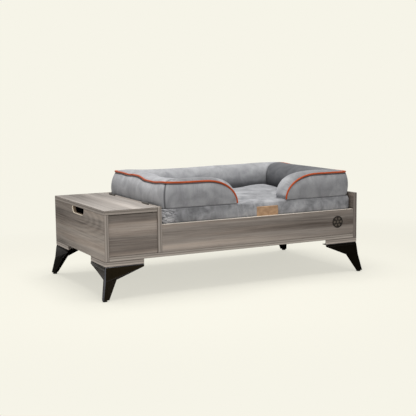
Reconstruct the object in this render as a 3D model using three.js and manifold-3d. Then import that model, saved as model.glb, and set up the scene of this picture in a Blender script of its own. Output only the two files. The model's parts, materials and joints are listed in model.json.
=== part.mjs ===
// Dog bed with frame: a board frame on four folded steel legs, with a lidded storage box at one end
// and a bolstered mattress in the bay beside it.
//
// Millimetres, +Z up. The storage box is at the -X end, the front faces -Y, and the origin is on the
// floor under the middle of the frame.

import * as THREE from 'three';
import { mergeVertices } from 'three/addons/utils/BufferGeometryUtils.js';
import Module from 'manifold-3d';

const wasm = await Module();
wasm.setup();

// ---------------------------------------------------------------- driving dimensions

// Frame boards
const frameLength = 1200;
const frameDepth = 620;
const boxHeight = 202;
const board = 18;
const storageLength = 245;
const railHeight = 130;
const frontSetback = 6;
const lidShadowGap = 3;
const seam = 0.3;

// Finger notch in the left end panel
const notchWidth = 140;
const notchDepth = 27;
const notchCorner = 22;
const notchChamfer = 3;

// Leg blocks and folded steel legs
const blockHeight = 20;
const blockSide = 165;
const blockTip = 4;
const legHeight = 134;
const steel = 2.5;
const bendRadius = 6;
const edgeBend = 2.2;
const wingTip = 10;
const kneeDrop = 55.5;
const kneeArm = 58;
const footArm = 33;
const shankTurn = THREE.MathUtils.degToRad(20);
const splay = 25;
const flangeWidth = 30;
const flangeMitre = 30;

// Glides under the legs
const glideRadius = 9.5;
const glideHeight = 6;
const glideStemRadius = 2.7;
const glideStemLength = 9;
const glideInset = 17.5;
const footPlate = 3;

// Leg screws
const screwHeadRadius = 5;
const screwHeadHeight = 3;
const screwShankRadius = 2.2;
const screwLength = 17;
const screwFit = 0.4;
const screwEdge = 16;
const screwReach = 110;
const screwCorner = 38;

// Butt hinges
const lidJoint = 1.2;
const hingeLength = 64;
const hingeInset = 90;
const barrelRadius = 3.5;
const pinRadius = 1.4;
const pinHeadRadius = 2.6;
const pinHeadHeight = 1.2;
const pinFit = 0.35;
const barrelLift = 0.4;
const leafThickness = 1.5;
const leafHeight = 15;
const leafRecess = 1.4;
const knuckles = 5;
const knuckleGap = 0.4;

// Screws of the hinge leaves
const hingeScrewHead = 2.6;
const hingeScrewShank = 1.2;
const hingeScrewLength = 12;
const hingeScrewSpacing = 40;
const hingeScrewDrop = 9.5;
const hingeScrewSink = 0.1;

// Dowels of the front rail
const dowelRadius = 4;
const dowelLength = 28;
const dowelFit = 0.3;
const dowelPanelDepth = 11;
const dowelSpacing = 60;

// Mattress
const mattressSideGap = 6.5;
const mattressEndGap = 2.5;
const mattressFrontGap = 4;
const baseThickness = 170;
const baseCorner = 30;
const baseEdge = 12;
const bolsterHeight = 105.5;
const bolsterCrown = 10;
const bolsterInset = 5;
const sideBolster = 132;
const endBolster = 146;
const backBolster = 98;
const frontBolster = 107;
const leftReturn = 346;
const rightReturn = 326;
const noseLength = 150;

// ---------------------------------------------------------------- places worked out from them

const left = -frameLength / 2;
const right = frameLength / 2;
const front = -frameDepth / 2;
const back = frameDepth / 2;
const floorBoardBottom = legHeight + blockHeight;
const floorBoardTop = floorBoardBottom + board;
const boxTop = floorBoardBottom + boxHeight;
const lidBottom = boxTop - board;
const dividerRight = left + storageLength;
const dividerLeft = dividerRight - board;
const lidRight = dividerLeft - lidJoint;
const hingeX = dividerLeft - lidJoint / 2;
const hingeZ = boxTop + barrelRadius + barrelLift;

// ---------------------------------------------------------------- materials

const finish = {
  oak: new THREE.MeshStandardMaterial({ color: 0x82776d, roughness: 0.62, metalness: 0 }),
  steel: new THREE.MeshStandardMaterial({ color: 0x17160f, roughness: 0.45, metalness: 0.4 }),
  plastic: new THREE.MeshStandardMaterial({ color: 0x101010, roughness: 0.6, metalness: 0 }),
  zinc: new THREE.MeshStandardMaterial({ color: 0x3a3936, roughness: 0.35, metalness: 0.9 }),
  beech: new THREE.MeshStandardMaterial({ color: 0xc9a878, roughness: 0.8, metalness: 0 }),
  velvet: new THREE.MeshStandardMaterial({ color: 0x8a8c8f, roughness: 0.95, metalness: 0 }),
};

// ---------------------------------------------------------------- solids

/** A closed geometry as a solid that can be joined and cut. */
function toSolid(geometry) {
  const bare = geometry.clone();
  bare.deleteAttribute('normal');
  bare.deleteAttribute('uv');
  const merged = mergeVertices(bare, 1e-4);
  return new wasm.Manifold(new wasm.Mesh({
    numProp: 3,
    vertProperties: new Float32Array(merged.attributes.position.array),
    triVerts: new Uint32Array(merged.index.array),
  }));
}

/** A solid back as a geometry. */
function toGeometry(solid) {
  const { vertProperties, triVerts } = solid.getMesh();
  const geometry = new THREE.BufferGeometry();
  geometry.setAttribute('position', new THREE.BufferAttribute(vertProperties, 3));
  geometry.setIndex(new THREE.BufferAttribute(triVerts, 1));
  geometry.computeVertexNormals();
  return geometry;
}

const join = (first, ...others) =>
  toGeometry(others.reduce((sum, other) => sum.add(toSolid(other)), toSolid(first)));

const cut = (body, ...tools) =>
  toGeometry(tools.reduce((rest, tool) => rest.subtract(toSolid(tool)), toSolid(body)));

/** A box between two corners. */
function block(x0, x1, y0, y1, z0, z1) {
  const geometry = new THREE.BoxGeometry(x1 - x0, y1 - y0, z1 - z0);
  return geometry.translate((x0 + x1) / 2, (y0 + y1) / 2, (z0 + z1) / 2);
}

/** A cylinder that starts at a point and runs along an axis. */
function rod(radius, length, start, axis, sides = 16) {
  const geometry = new THREE.CylinderGeometry(radius, radius, length, sides);
  geometry.translate(0, length / 2, 0);
  geometry.applyQuaternion(new THREE.Quaternion().setFromUnitVectors(new THREE.Vector3(0, 1, 0), axis));
  return geometry.translate(...start);
}

/** A plate of a flat outline, from z upwards. */
function plate(points, z, thickness) {
  const shape = new THREE.Shape(points.map(([x, y]) => new THREE.Vector2(x, y)));
  return new THREE.ExtrudeGeometry(shape, { depth: thickness, bevelEnabled: false }).translate(0, 0, z);
}

const xAxis = new THREE.Vector3(1, 0, 0);
const zAxis = new THREE.Vector3(0, 0, 1);

function piece(name, geometry, material) {
  const mesh = new THREE.Mesh(geometry, material);
  mesh.name = name;
  return mesh;
}

// ---------------------------------------------------------------- leg: folded steel

/**
 * One face of the folded sheet at one height: from the end of one arm, round the bend, to the end of
 * the other. Both arms leave the bend turned inward from the block's faces, and an offset moves the
 * face in from the outside of the sheet.
 */
function foldedFace({ corner, arm, turn, inset = 0 }, offset) {
  const bendCentre = corner + bendRadius / (Math.cos(turn) - Math.sin(turn));
  const radius = bendRadius - offset;
  const steps = 4;
  const reach = arm - inset;
  const along = Math.cos(turn);
  const across = Math.sin(turn);
  const armEnd = new THREE.Vector2(
    corner + reach * along - offset * across,
    corner + reach * across + offset * along,
  );
  const points = [armEnd];
  for (let step = 0; step <= steps; step++) {
    const angle = -(Math.PI / 2 - turn) - (step / steps) * (Math.PI / 2 + 2 * turn);
    points.push(new THREE.Vector2(
      bendCentre + radius * Math.cos(angle),
      bendCentre + radius * Math.sin(angle),
    ));
  }
  points.push(new THREE.Vector2(armEnd.y, armEnd.x));
  return points;
}

/** Skins the folded sheet between its sections, from the top down, and closes both ends. */
function foldedSheet(sections) {
  const positions = [];
  const indices = [];
  const loops = sections.map((section) => {
    const outer = foldedFace(section, section.inset ?? 0);
    const inner = foldedFace(section, steel).reverse();
    return [...outer, ...inner].map((point) => {
      positions.push(point.x, point.y, section.z);
      return positions.length / 3 - 1;
    });
  });
  const quad = (a, b, c, d) => indices.push(a, b, c, a, c, d);
  const count = loops[0].length;
  for (let level = 0; level < loops.length - 1; level++) {
    for (let side = 0; side < count; side++) {
      const next = (side + 1) % count;
      quad(loops[level][side], loops[level][next], loops[level + 1][next], loops[level + 1][side]);
    }
  }
  const top = loops[0];
  const bottom = loops[loops.length - 1];
  for (let side = 0; side < count / 2 - 1; side++) {
    const across = count - 1 - side;
    quad(top[across], top[across - 1], top[side + 1], top[side]);
    quad(bottom[side], bottom[side + 1], bottom[across - 1], bottom[across]);
  }
  const geometry = new THREE.BufferGeometry();
  geometry.setAttribute('position', new THREE.Float32BufferAttribute(positions, 3));
  geometry.setIndex(indices);
  return geometry;
}

const legTop = legHeight - seam;
const footBottom = glideHeight + seam;
const kneeHeight = legHeight - kneeDrop;
const splayAt = (z) => (-splay * (legTop - z)) / (legTop - footBottom);
const glidePlace = splayAt(footBottom) + glideInset;
const legScrewPlaces = [
  ['front', screwReach, screwEdge],
  ['corner', screwCorner, screwCorner],
  ['side', screwEdge, screwReach],
];

/** Two triangular wings, a tapering V shank that splays out, a screw flange and a foot plate. */
function legGeometry() {
  const sheet = foldedSheet([
    { z: legTop, corner: 0, arm: blockSide, turn: 0, inset: edgeBend },
    { z: legTop - edgeBend, corner: splayAt(legTop - edgeBend), arm: blockSide, turn: 0 },
    { z: legTop - wingTip, corner: splayAt(legTop - wingTip), arm: blockSide, turn: 0 },
    { z: kneeHeight, corner: splayAt(kneeHeight), arm: kneeArm, turn: shankTurn },
    { z: footBottom, corner: splayAt(footBottom), arm: footArm, turn: shankTurn },
  ]);
  const flangeEnd = blockSide - edgeBend;
  const flangeCorner = flangeWidth + flangeMitre;
  const flange = plate([
    [edgeBend, edgeBend],
    [flangeEnd, edgeBend],
    [flangeEnd, flangeWidth],
    [flangeCorner, flangeWidth],
    [flangeWidth, flangeCorner],
    [flangeWidth, flangeEnd],
    [edgeBend, flangeEnd],
  ], legTop - steel, steel);
  const foot = { corner: splayAt(footBottom), arm: footArm, turn: shankTurn };
  const sole = plate(
    foldedFace(foot, steel / 2).map((point) => [point.x, point.y]),
    footBottom,
    footPlate,
  );
  const stemHole = rod(
    glideStemRadius + screwFit, 3 * footPlate, [glidePlace, glidePlace, footBottom - footPlate], zAxis,
  );
  const screwHoles = legScrewPlaces.map(([, x, y]) =>
    rod(screwShankRadius + screwFit, 3 * steel, [x, y, legTop - 2 * steel], zAxis, 12));
  return cut(join(sheet, flange, sole), stemHole, ...screwHoles);
}

/** Triangular block under the base board, drilled for the leg's screws. */
function legBlockGeometry() {
  const outline = [
    [0, 0],
    [blockSide, 0],
    [blockSide, blockTip],
    [blockTip, blockSide],
    [0, blockSide],
  ];
  const pilots = legScrewPlaces.map(([, x, y]) =>
    rod(screwShankRadius + screwFit, screwLength + screwFit, [x, y, legHeight - screwFit], zAxis, 12));
  return cut(plate(outline, legHeight, blockHeight - seam), ...pilots);
}

/** Pan-head screw, its head under the flange. */
function legScrewGeometry([, x, y]) {
  const headTop = legTop - steel - seam;
  const shankTop = legHeight + screwLength - screwFit;
  const profile = [
    [0, headTop - screwHeadHeight],
    [screwHeadRadius * 0.7, headTop - screwHeadHeight],
    [screwHeadRadius, headTop - screwHeadHeight * 0.5],
    [screwHeadRadius, headTop],
    [screwShankRadius, headTop],
    [screwShankRadius, shankTop - screwShankRadius],
    [0, shankTop],
  ].map(([radius, z]) => new THREE.Vector2(radius, z));
  return new THREE.LatheGeometry(profile, 12).rotateX(Math.PI / 2).translate(x, y, 0);
}

/** Plastic glide: a rounded foot with a stem through the foot plate. */
function glideGeometry() {
  const stemTop = glideHeight + glideStemLength;
  const profile = [
    [0, 0],
    [glideRadius * 0.6, 0],
    [glideRadius * 0.9, glideHeight * 0.25],
    [glideRadius, glideHeight * 0.6],
    [glideRadius, glideHeight],
    [glideStemRadius, glideHeight],
    [glideStemRadius, stemTop - glideStemRadius],
    [0, stemTop],
  ].map(([radius, z]) => new THREE.Vector2(radius, z));
  return new THREE.LatheGeometry(profile, 16).rotateX(Math.PI / 2).translate(glidePlace, glidePlace, 0);
}

/** One corner's block, leg, glide and screws. Its X and Y run inward from the corner. */
function legCorner(name, x, y, turn) {
  const group = new THREE.Group();
  group.position.set(x, y, 0);
  group.rotation.z = turn;
  group.add(piece(`leg_block_${name}`, legBlockGeometry(), finish.oak));
  group.add(piece(`leg_${name}`, legGeometry(), finish.steel));
  group.add(piece(`glide_${name}`, glideGeometry(), finish.plastic));
  for (const place of legScrewPlaces) {
    group.add(piece(`leg_screw_${name}_${place[0]}`, legScrewGeometry(place), finish.zinc));
  }
  return group;
}

// ---------------------------------------------------------------- hinges

// About the hinge axis: the joint between lid and divider is at x 0, and a leaf lies in a recess in
// the lid's edge. The divider's leaf and screws are the same, turned half round.
const leafDeep = -(lidJoint / 2 + leafRecess);
const leafFace = leafDeep + leafThickness;
const leafTop = -(barrelRadius + barrelLift);
const leafBottom = leafTop - leafHeight;
const knuckleLength = hingeLength / knuckles;
const hingeScrewZ = leafTop - hingeScrewDrop;
const hingeScrewPlaces = [-0.5, 0.5].map((half) => hingeLength / 2 + half * hingeScrewSpacing);
const hingeStarts = [
  ['front', front + hingeInset],
  ['back', back - hingeInset - hingeLength],
];

/** Ring of one knuckle and the neck that joins it to its leaf. */
function knuckleGeometry(index) {
  const start = index * knuckleLength + knuckleGap / 2;
  const length = knuckleLength - knuckleGap;
  const ring = new THREE.Shape().absarc(0, 0, barrelRadius, 0, 2 * Math.PI, false);
  ring.holes.push(new THREE.Path().absarc(0, 0, pinRadius + pinFit, 0, 2 * Math.PI, true));
  const barrel = new THREE.ExtrudeGeometry(ring, { depth: length, bevelEnabled: false, curveSegments: 10 });
  barrel.rotateX(-Math.PI / 2).translate(0, start, 0);
  const neckTop = -(pinRadius + pinFit + barrelRadius) / 2;
  return join(barrel, block(leafDeep, leafFace, start, start + length, leafTop - leafThickness, neckTop));
}

/** Leaf of a butt hinge: a plate below the barrel, two screw holes and every second knuckle. */
function leafGeometry(firstKnuckle) {
  const sheet = block(leafDeep, leafFace, 0, hingeLength, leafBottom, leafTop);
  const own = [];
  for (let index = firstKnuckle; index < knuckles; index += 2) {
    own.push(knuckleGeometry(index));
  }
  const holes = hingeScrewPlaces.map((y) => hingeScrewRod(y, pinFit));
  return cut(join(sheet, ...own), ...holes);
}

/** A hinge screw from the leaf's face into the board, larger all round by a fit. */
function hingeScrewRod(y, fit) {
  const profile = [
    [0, hingeScrewSink - fit],
    [hingeScrewHead + fit, hingeScrewSink - fit],
    [hingeScrewShank + fit, leafThickness],
    [hingeScrewShank + fit, hingeScrewLength - hingeScrewShank],
    [0, hingeScrewLength + fit],
  ].map(([radius, depth]) => new THREE.Vector2(radius, depth));
  return new THREE.LatheGeometry(profile, 12).rotateZ(Math.PI / 2).translate(leafFace, y, hingeScrewZ);
}

/** Hinge pin with a rivet head at each end. */
function pinGeometry() {
  const overhang = pinFit - knuckleGap / 2;
  const profile = [
    [0, -overhang - pinHeadHeight],
    [pinHeadRadius, -overhang - pinHeadHeight],
    [pinHeadRadius, -overhang],
    [pinRadius, -overhang],
    [pinRadius, hingeLength + overhang],
    [pinHeadRadius, hingeLength + overhang],
    [pinHeadRadius, hingeLength + overhang + pinHeadHeight],
    [0, hingeLength + overhang + pinHeadHeight],
  ].map(([radius, y]) => new THREE.Vector2(radius, y));
  return new THREE.LatheGeometry(profile, 12);
}

/** What a board's edge loses to one leaf: the recess and the screws' pilot holes. */
function leafSeat() {
  const recess = block(leafDeep - seam, 0, -seam, hingeLength + seam, leafBottom - seam, leafTop + board);
  return [recess, ...hingeScrewPlaces.map((y) => hingeScrewRod(y, pinFit))];
}

/** One leaf and its two screws. */
function leafSet(owner, name, firstKnuckle) {
  const group = new THREE.Group();
  group.add(piece(`hinge_${name}_${owner}_leaf`, leafGeometry(firstKnuckle), finish.zinc));
  hingeScrewPlaces.forEach((y, index) => {
    const screw = piece(`hinge_screw_${name}_${owner}_${index + 1}`, hingeScrewRod(y, 0), finish.zinc);
    group.add(screw);
  });
  return group;
}

// ---------------------------------------------------------------- boards

/** Outline of the finger notch, open at the top, in the end panel's own Y and Z. */
function notchShape(top) {
  const half = notchWidth / 2;
  const bottom = top - notchDepth;
  const shape = new THREE.Shape();
  shape.moveTo(-half, top + board);
  shape.lineTo(-half, bottom + notchCorner);
  shape.absarc(-half + notchCorner, bottom + notchCorner, notchCorner, Math.PI, 1.5 * Math.PI, false);
  shape.absarc(half - notchCorner, bottom + notchCorner, notchCorner, 1.5 * Math.PI, 2 * Math.PI, false);
  shape.lineTo(half, top + board);
  return shape;
}

/** End panel of the storage box, with a finger notch eased on both sides. */
function leftEndPanel() {
  const top = lidBottom - seam;
  const shape = notchShape(top);
  const toPanel = (geometry, x) => geometry.rotateX(Math.PI / 2).rotateZ(Math.PI / 2).translate(x, 0, 0);
  const through = new THREE.ExtrudeGeometry(shape, { depth: 3 * board, bevelEnabled: false, curveSegments: 6 });
  const ease = () => new THREE.ExtrudeGeometry(shape, {
    depth: notchChamfer,
    bevelThickness: notchChamfer,
    bevelSize: notchChamfer,
    bevelSegments: 1,
    curveSegments: 6,
  });
  return cut(
    block(left, left + board, front, back, floorBoardBottom, top),
    toPanel(through, left - board),
    toPanel(ease(), left - notchChamfer),
    toPanel(ease(), left + board),
  );
}

const railTop = floorBoardBottom + railHeight;
const railMiddle = (floorBoardTop + seam + railTop) / 2;
const dowelHeights = [['lower', railMiddle - dowelSpacing / 2], ['upper', railMiddle + dowelSpacing / 2]];
const railEnds = [['left', dividerRight, xAxis], ['right', right - board, xAxis.clone().negate()]];

/** A dowel at one end of the rail, larger all round by a fit: part in the panel, part in the rail. */
function dowelRod([, face, axis], [, z], fit) {
  const start = face - axis.x * (dowelPanelDepth + fit);
  return rod(dowelRadius + fit, dowelLength + 2 * fit, [start, front + board / 2, z], axis);
}

const dowelBores = (end) => dowelHeights.map((height) => dowelRod(end, height, dowelFit));

/** The carcass: floor board, ends, divider, fronts and backs, and the rail's dowels. */
function frameBoards() {
  const group = new THREE.Group();
  const add = (name, geometry) => group.add(piece(name, geometry, finish.oak));
  const innerLeft = left + board + seam;
  const innerRight = right - board - seam;
  const bottom = floorBoardTop + seam;
  const storageRight = dividerLeft - seam;
  const bayLeft = dividerRight + seam;
  const seats = hingeStarts.flatMap(([, start]) =>
    leafSeat().map((tool) => tool.rotateZ(Math.PI).translate(hingeX, start + hingeLength, hingeZ)));

  add('base_board', block(innerLeft, innerRight, front, back, floorBoardBottom, floorBoardTop));
  add('left_end_panel', leftEndPanel());
  add('right_end_panel', cut(
    block(right - board, right, front, back, floorBoardBottom, boxTop),
    ...dowelBores(railEnds[1]),
  ));
  add('divider_panel', cut(
    block(dividerLeft, dividerRight, front, back, bottom, boxTop),
    ...dowelBores(railEnds[0]),
    ...seats,
  ));
  const storageFront = front + frontSetback;
  add('storage_front_panel', block(
    innerLeft, storageRight, storageFront, storageFront + board, bottom, lidBottom - lidShadowGap,
  ));
  add('storage_back_panel', block(innerLeft, storageRight, back - board, back, bottom, lidBottom - seam));
  add('back_panel', block(bayLeft, innerRight, back - board, back, bottom, boxTop));
  add('front_rail', cut(
    block(bayLeft, innerRight, front, front + board, bottom, railTop),
    ...railEnds.flatMap(dowelBores),
  ));
  for (const end of railEnds) {
    for (const height of dowelHeights) {
      group.add(piece(`rail_dowel_${end[0]}_${height[0]}`, dowelRod(end, height, 0), finish.beech));
    }
  }
  return group;
}

/** Overlay lid about its hinge axis, with its leaves and their screws. */
function lidAssembly() {
  const group = new THREE.Group();
  group.position.set(hingeX, 0, hingeZ);
  const seats = hingeStarts.flatMap(([, start]) => leafSeat().map((tool) => tool.translate(0, start, 0)));
  const lid = block(left - hingeX, lidRight - hingeX, front, back, lidBottom - hingeZ, boxTop - hingeZ);
  group.add(piece('storage_lid', cut(lid, ...seats), finish.oak));
  for (const [name, start] of hingeStarts) {
    const leaf = leafSet('lid', name, 1);
    leaf.position.y = start;
    group.add(leaf);
  }
  return group;
}

/** The divider's half of each hinge, and the pins. */
function dividerHinges() {
  const group = new THREE.Group();
  for (const [name, start] of hingeStarts) {
    const leaf = leafSet('divider', name, 0);
    leaf.rotation.z = Math.PI;
    leaf.position.set(hingeX, start + hingeLength, hingeZ);
    const pin = piece(`hinge_${name}_pin`, pinGeometry(), finish.zinc);
    pin.position.set(hingeX, start, hingeZ);
    group.add(leaf, pin);
  }
  return group;
}

// ---------------------------------------------------------------- mattress

const mattressLeft = dividerRight + mattressSideGap;
const mattressRight = right - board - mattressEndGap;
const mattressFront = front + board + mattressFrontGap;
const mattressBack = back - board - mattressFrontGap;
const mattressBottom = floorBoardTop + seam;
const sleepingTop = mattressBottom + baseThickness;
const bolsterBottom = sleepingTop + seam;
const outerLeft = mattressLeft + bolsterInset;
const outerRight = mattressRight - bolsterInset;
const outerFront = mattressFront + bolsterInset;
const outerBack = mattressBack - bolsterInset;
const innerBack = outerBack - backBolster;

/** Base cushion: a thick pad with round corners and eased edges. */
function baseCushionGeometry() {
  const halfX = (mattressRight - mattressLeft) / 2;
  const halfY = (mattressBack - mattressFront) / 2;
  const shape = new THREE.Shape();
  shape.absarc(halfX - baseCorner, halfY - baseCorner, baseCorner, 0, Math.PI / 2);
  shape.absarc(baseCorner - halfX, halfY - baseCorner, baseCorner, Math.PI / 2, Math.PI);
  shape.absarc(baseCorner - halfX, baseCorner - halfY, baseCorner, Math.PI, 1.5 * Math.PI);
  shape.absarc(halfX - baseCorner, baseCorner - halfY, baseCorner, 1.5 * Math.PI, 2 * Math.PI);
  const cushion = new THREE.ExtrudeGeometry(shape, {
    depth: baseThickness - 2 * baseEdge,
    bevelThickness: baseEdge,
    bevelSize: baseEdge,
    bevelOffset: -baseEdge,
    bevelSegments: 3,
    curveSegments: 5,
  });
  const middleX = (mattressLeft + mattressRight) / 2;
  const middleY = (mattressFront + mattressBack) / 2;
  return cushion.translate(middleX, middleY, mattressBottom + baseEdge);
}

/** Bolster section: a straight outer wall up to its piped edge, a crown, and a round inner side. */
function bolsterSection(width) {
  const top = bolsterHeight + bolsterCrown;
  const shape = new THREE.Shape();
  shape.moveTo(0, 0);
  shape.lineTo(width, 0);
  shape.lineTo(width, 0.5 * bolsterHeight);
  shape.bezierCurveTo(width, 0.88 * top, 0.86 * width, top, 0.48 * width, top);
  shape.bezierCurveTo(0.25 * width, top, 0.1 * width, top - 0.3 * bolsterCrown, 0, bolsterHeight);
  return shape;
}

/** Front outline of a return: level, then a quarter ellipse down to the entry. */
function returnOutline(reach) {
  const shape = new THREE.Shape();
  shape.moveTo(0, 0);
  shape.lineTo(reach, 0);
  shape.absellipse(reach - noseLength, 0, noseLength, bolsterHeight, 0, Math.PI / 2);
  shape.lineTo(0, bolsterHeight);
  return shape;
}

/** Runs an upright section along the horizontal that lies to the right of its width. */
function run(section, x, y, widthAxis, length) {
  const geometry = new THREE.ExtrudeGeometry(section, { depth: length, bevelEnabled: false, curveSegments: 8 });
  const along = widthAxis.clone().cross(zAxis);
  const place = new THREE.Matrix4().makeBasis(widthAxis, zAxis, along).setPosition(x, y, bolsterBottom);
  return geometry.applyMatrix4(place);
}

/** The mattress: base cushion and the five sections of its bolster. */
function mattress() {
  const group = new THREE.Group();
  const add = (name, geometry) => group.add(piece(name, geometry, finish.velvet));
  const leftward = xAxis.clone().negate();
  const forward = new THREE.Vector3(0, -1, 0);
  const sideLength = innerBack - outerFront - seam;
  add('mattress_base', baseCushionGeometry());
  add('bolster_back', run(
    bolsterSection(backBolster), outerRight, outerBack, forward, outerRight - outerLeft,
  ));
  add('bolster_left', run(
    bolsterSection(sideBolster), outerLeft, innerBack - seam, xAxis, sideLength,
  ));
  add('bolster_right', run(
    bolsterSection(endBolster), outerRight, outerFront, leftward, sideLength,
  ));
  const leftReach = leftReturn - sideBolster - seam;
  const rightReach = rightReturn - endBolster - seam;
  const leftRoot = outerLeft + sideBolster + seam;
  const rightRoot = outerRight - endBolster - seam;
  add('bolster_front_left', run(
    returnOutline(leftReach), leftRoot, outerFront + frontBolster, xAxis, frontBolster,
  ));
  add('bolster_front_right', run(returnOutline(rightReach), rightRoot, outerFront, leftward, frontBolster));
  return group;
}

// ---------------------------------------------------------------- the bed

const bed = new THREE.Group();
bed.add(frameBoards(), dividerHinges(), lidAssembly(), mattress());
bed.add(legCorner('front_left', left, front, 0));
bed.add(legCorner('front_right', right, front, Math.PI / 2));
bed.add(legCorner('back_right', right, back, Math.PI));
bed.add(legCorner('back_left', left, back, -Math.PI / 2));

export default bed;
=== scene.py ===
"""Dog bed with frame: an oak laminate frame on folded steel legs, with a lidded box and a bolstered mattress.

The boards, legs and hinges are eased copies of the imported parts. The mattress, its piping, the leather patch
and the round disc on the rail are built here. Everything is in metres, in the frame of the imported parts.
"""

from __future__ import annotations

import json
import logging
import math
from dataclasses import dataclass, field
from enum import Enum
from typing import Sequence

import bmesh
import bpy
from bmesh.types import BMEdge, BMesh, BMFace, BMLayerItem, BMVert
from bpy.types import Material, Node, NodeSocket, Object, World
from mathutils import Matrix, Vector
from mathutils.bvhtree import BVHTree

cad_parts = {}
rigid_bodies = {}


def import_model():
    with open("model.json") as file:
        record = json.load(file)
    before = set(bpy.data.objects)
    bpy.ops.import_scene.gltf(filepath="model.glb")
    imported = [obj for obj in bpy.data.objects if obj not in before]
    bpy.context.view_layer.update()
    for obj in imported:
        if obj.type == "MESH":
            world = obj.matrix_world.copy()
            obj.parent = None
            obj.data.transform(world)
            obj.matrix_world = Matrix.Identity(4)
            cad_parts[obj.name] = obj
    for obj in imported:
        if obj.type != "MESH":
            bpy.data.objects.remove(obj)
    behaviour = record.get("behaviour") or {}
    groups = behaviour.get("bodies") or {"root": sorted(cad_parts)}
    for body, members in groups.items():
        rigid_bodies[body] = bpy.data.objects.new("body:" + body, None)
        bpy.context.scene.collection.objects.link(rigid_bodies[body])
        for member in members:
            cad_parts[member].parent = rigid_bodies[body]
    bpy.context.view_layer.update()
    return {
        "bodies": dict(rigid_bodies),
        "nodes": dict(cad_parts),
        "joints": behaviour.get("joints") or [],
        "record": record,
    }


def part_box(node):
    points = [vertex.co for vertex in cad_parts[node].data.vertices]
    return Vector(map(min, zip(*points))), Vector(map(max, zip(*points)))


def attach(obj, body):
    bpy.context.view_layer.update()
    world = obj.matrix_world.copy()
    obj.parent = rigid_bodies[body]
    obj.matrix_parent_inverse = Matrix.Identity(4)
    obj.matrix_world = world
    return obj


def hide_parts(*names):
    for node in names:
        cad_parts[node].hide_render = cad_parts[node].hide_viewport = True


log = logging.getLogger("dog_bed")

Colour = tuple[int, int, int]
"""A display colour: red, green and blue, 0 to 255."""
Tones = Sequence[tuple[float, float]]
"""Places across a board's width, and how light it is there, both 0 to 1."""
Box = tuple[Vector, Vector]
"""The lowest and the highest corner of a part."""

GAMMA = 2.2
"""How a display spreads its tones."""
MERGE = 1e-6
"""How near two vertices are that become one."""


class Axis(Enum):
    """A direction of the frame, by its place in a vector."""

    X = 0
    Y = 1
    Z = 2


def linear(red: int, green: int, blue: int) -> tuple[float, float, float, float]:
    """Turns a display colour into the linear colour that shaders take.

    Args:
        red: Red, 0 to 255.
        green: Green, 0 to 255.
        blue: Blue, 0 to 255.

    Returns:
        Linear red, green, blue and an alpha of 1.
    """
    parts = [c / 255 for c in (red, green, blue)]
    values = [c / 12.92 if c <= 0.04045 else ((c + 0.055) / 1.055) ** 2.4 for c in parts]
    return (values[0], values[1], values[2], 1.0)


def smoothstep(low: float, high: float, value: float) -> float:
    """Returns 0 below low, 1 above high, and a smooth rise between them."""
    t = min(max((value - low) / (high - low), 0.0), 1.0)
    return t * t * (3 - 2 * t)


# ---------------------------------------------------------------- node graphs


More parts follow.
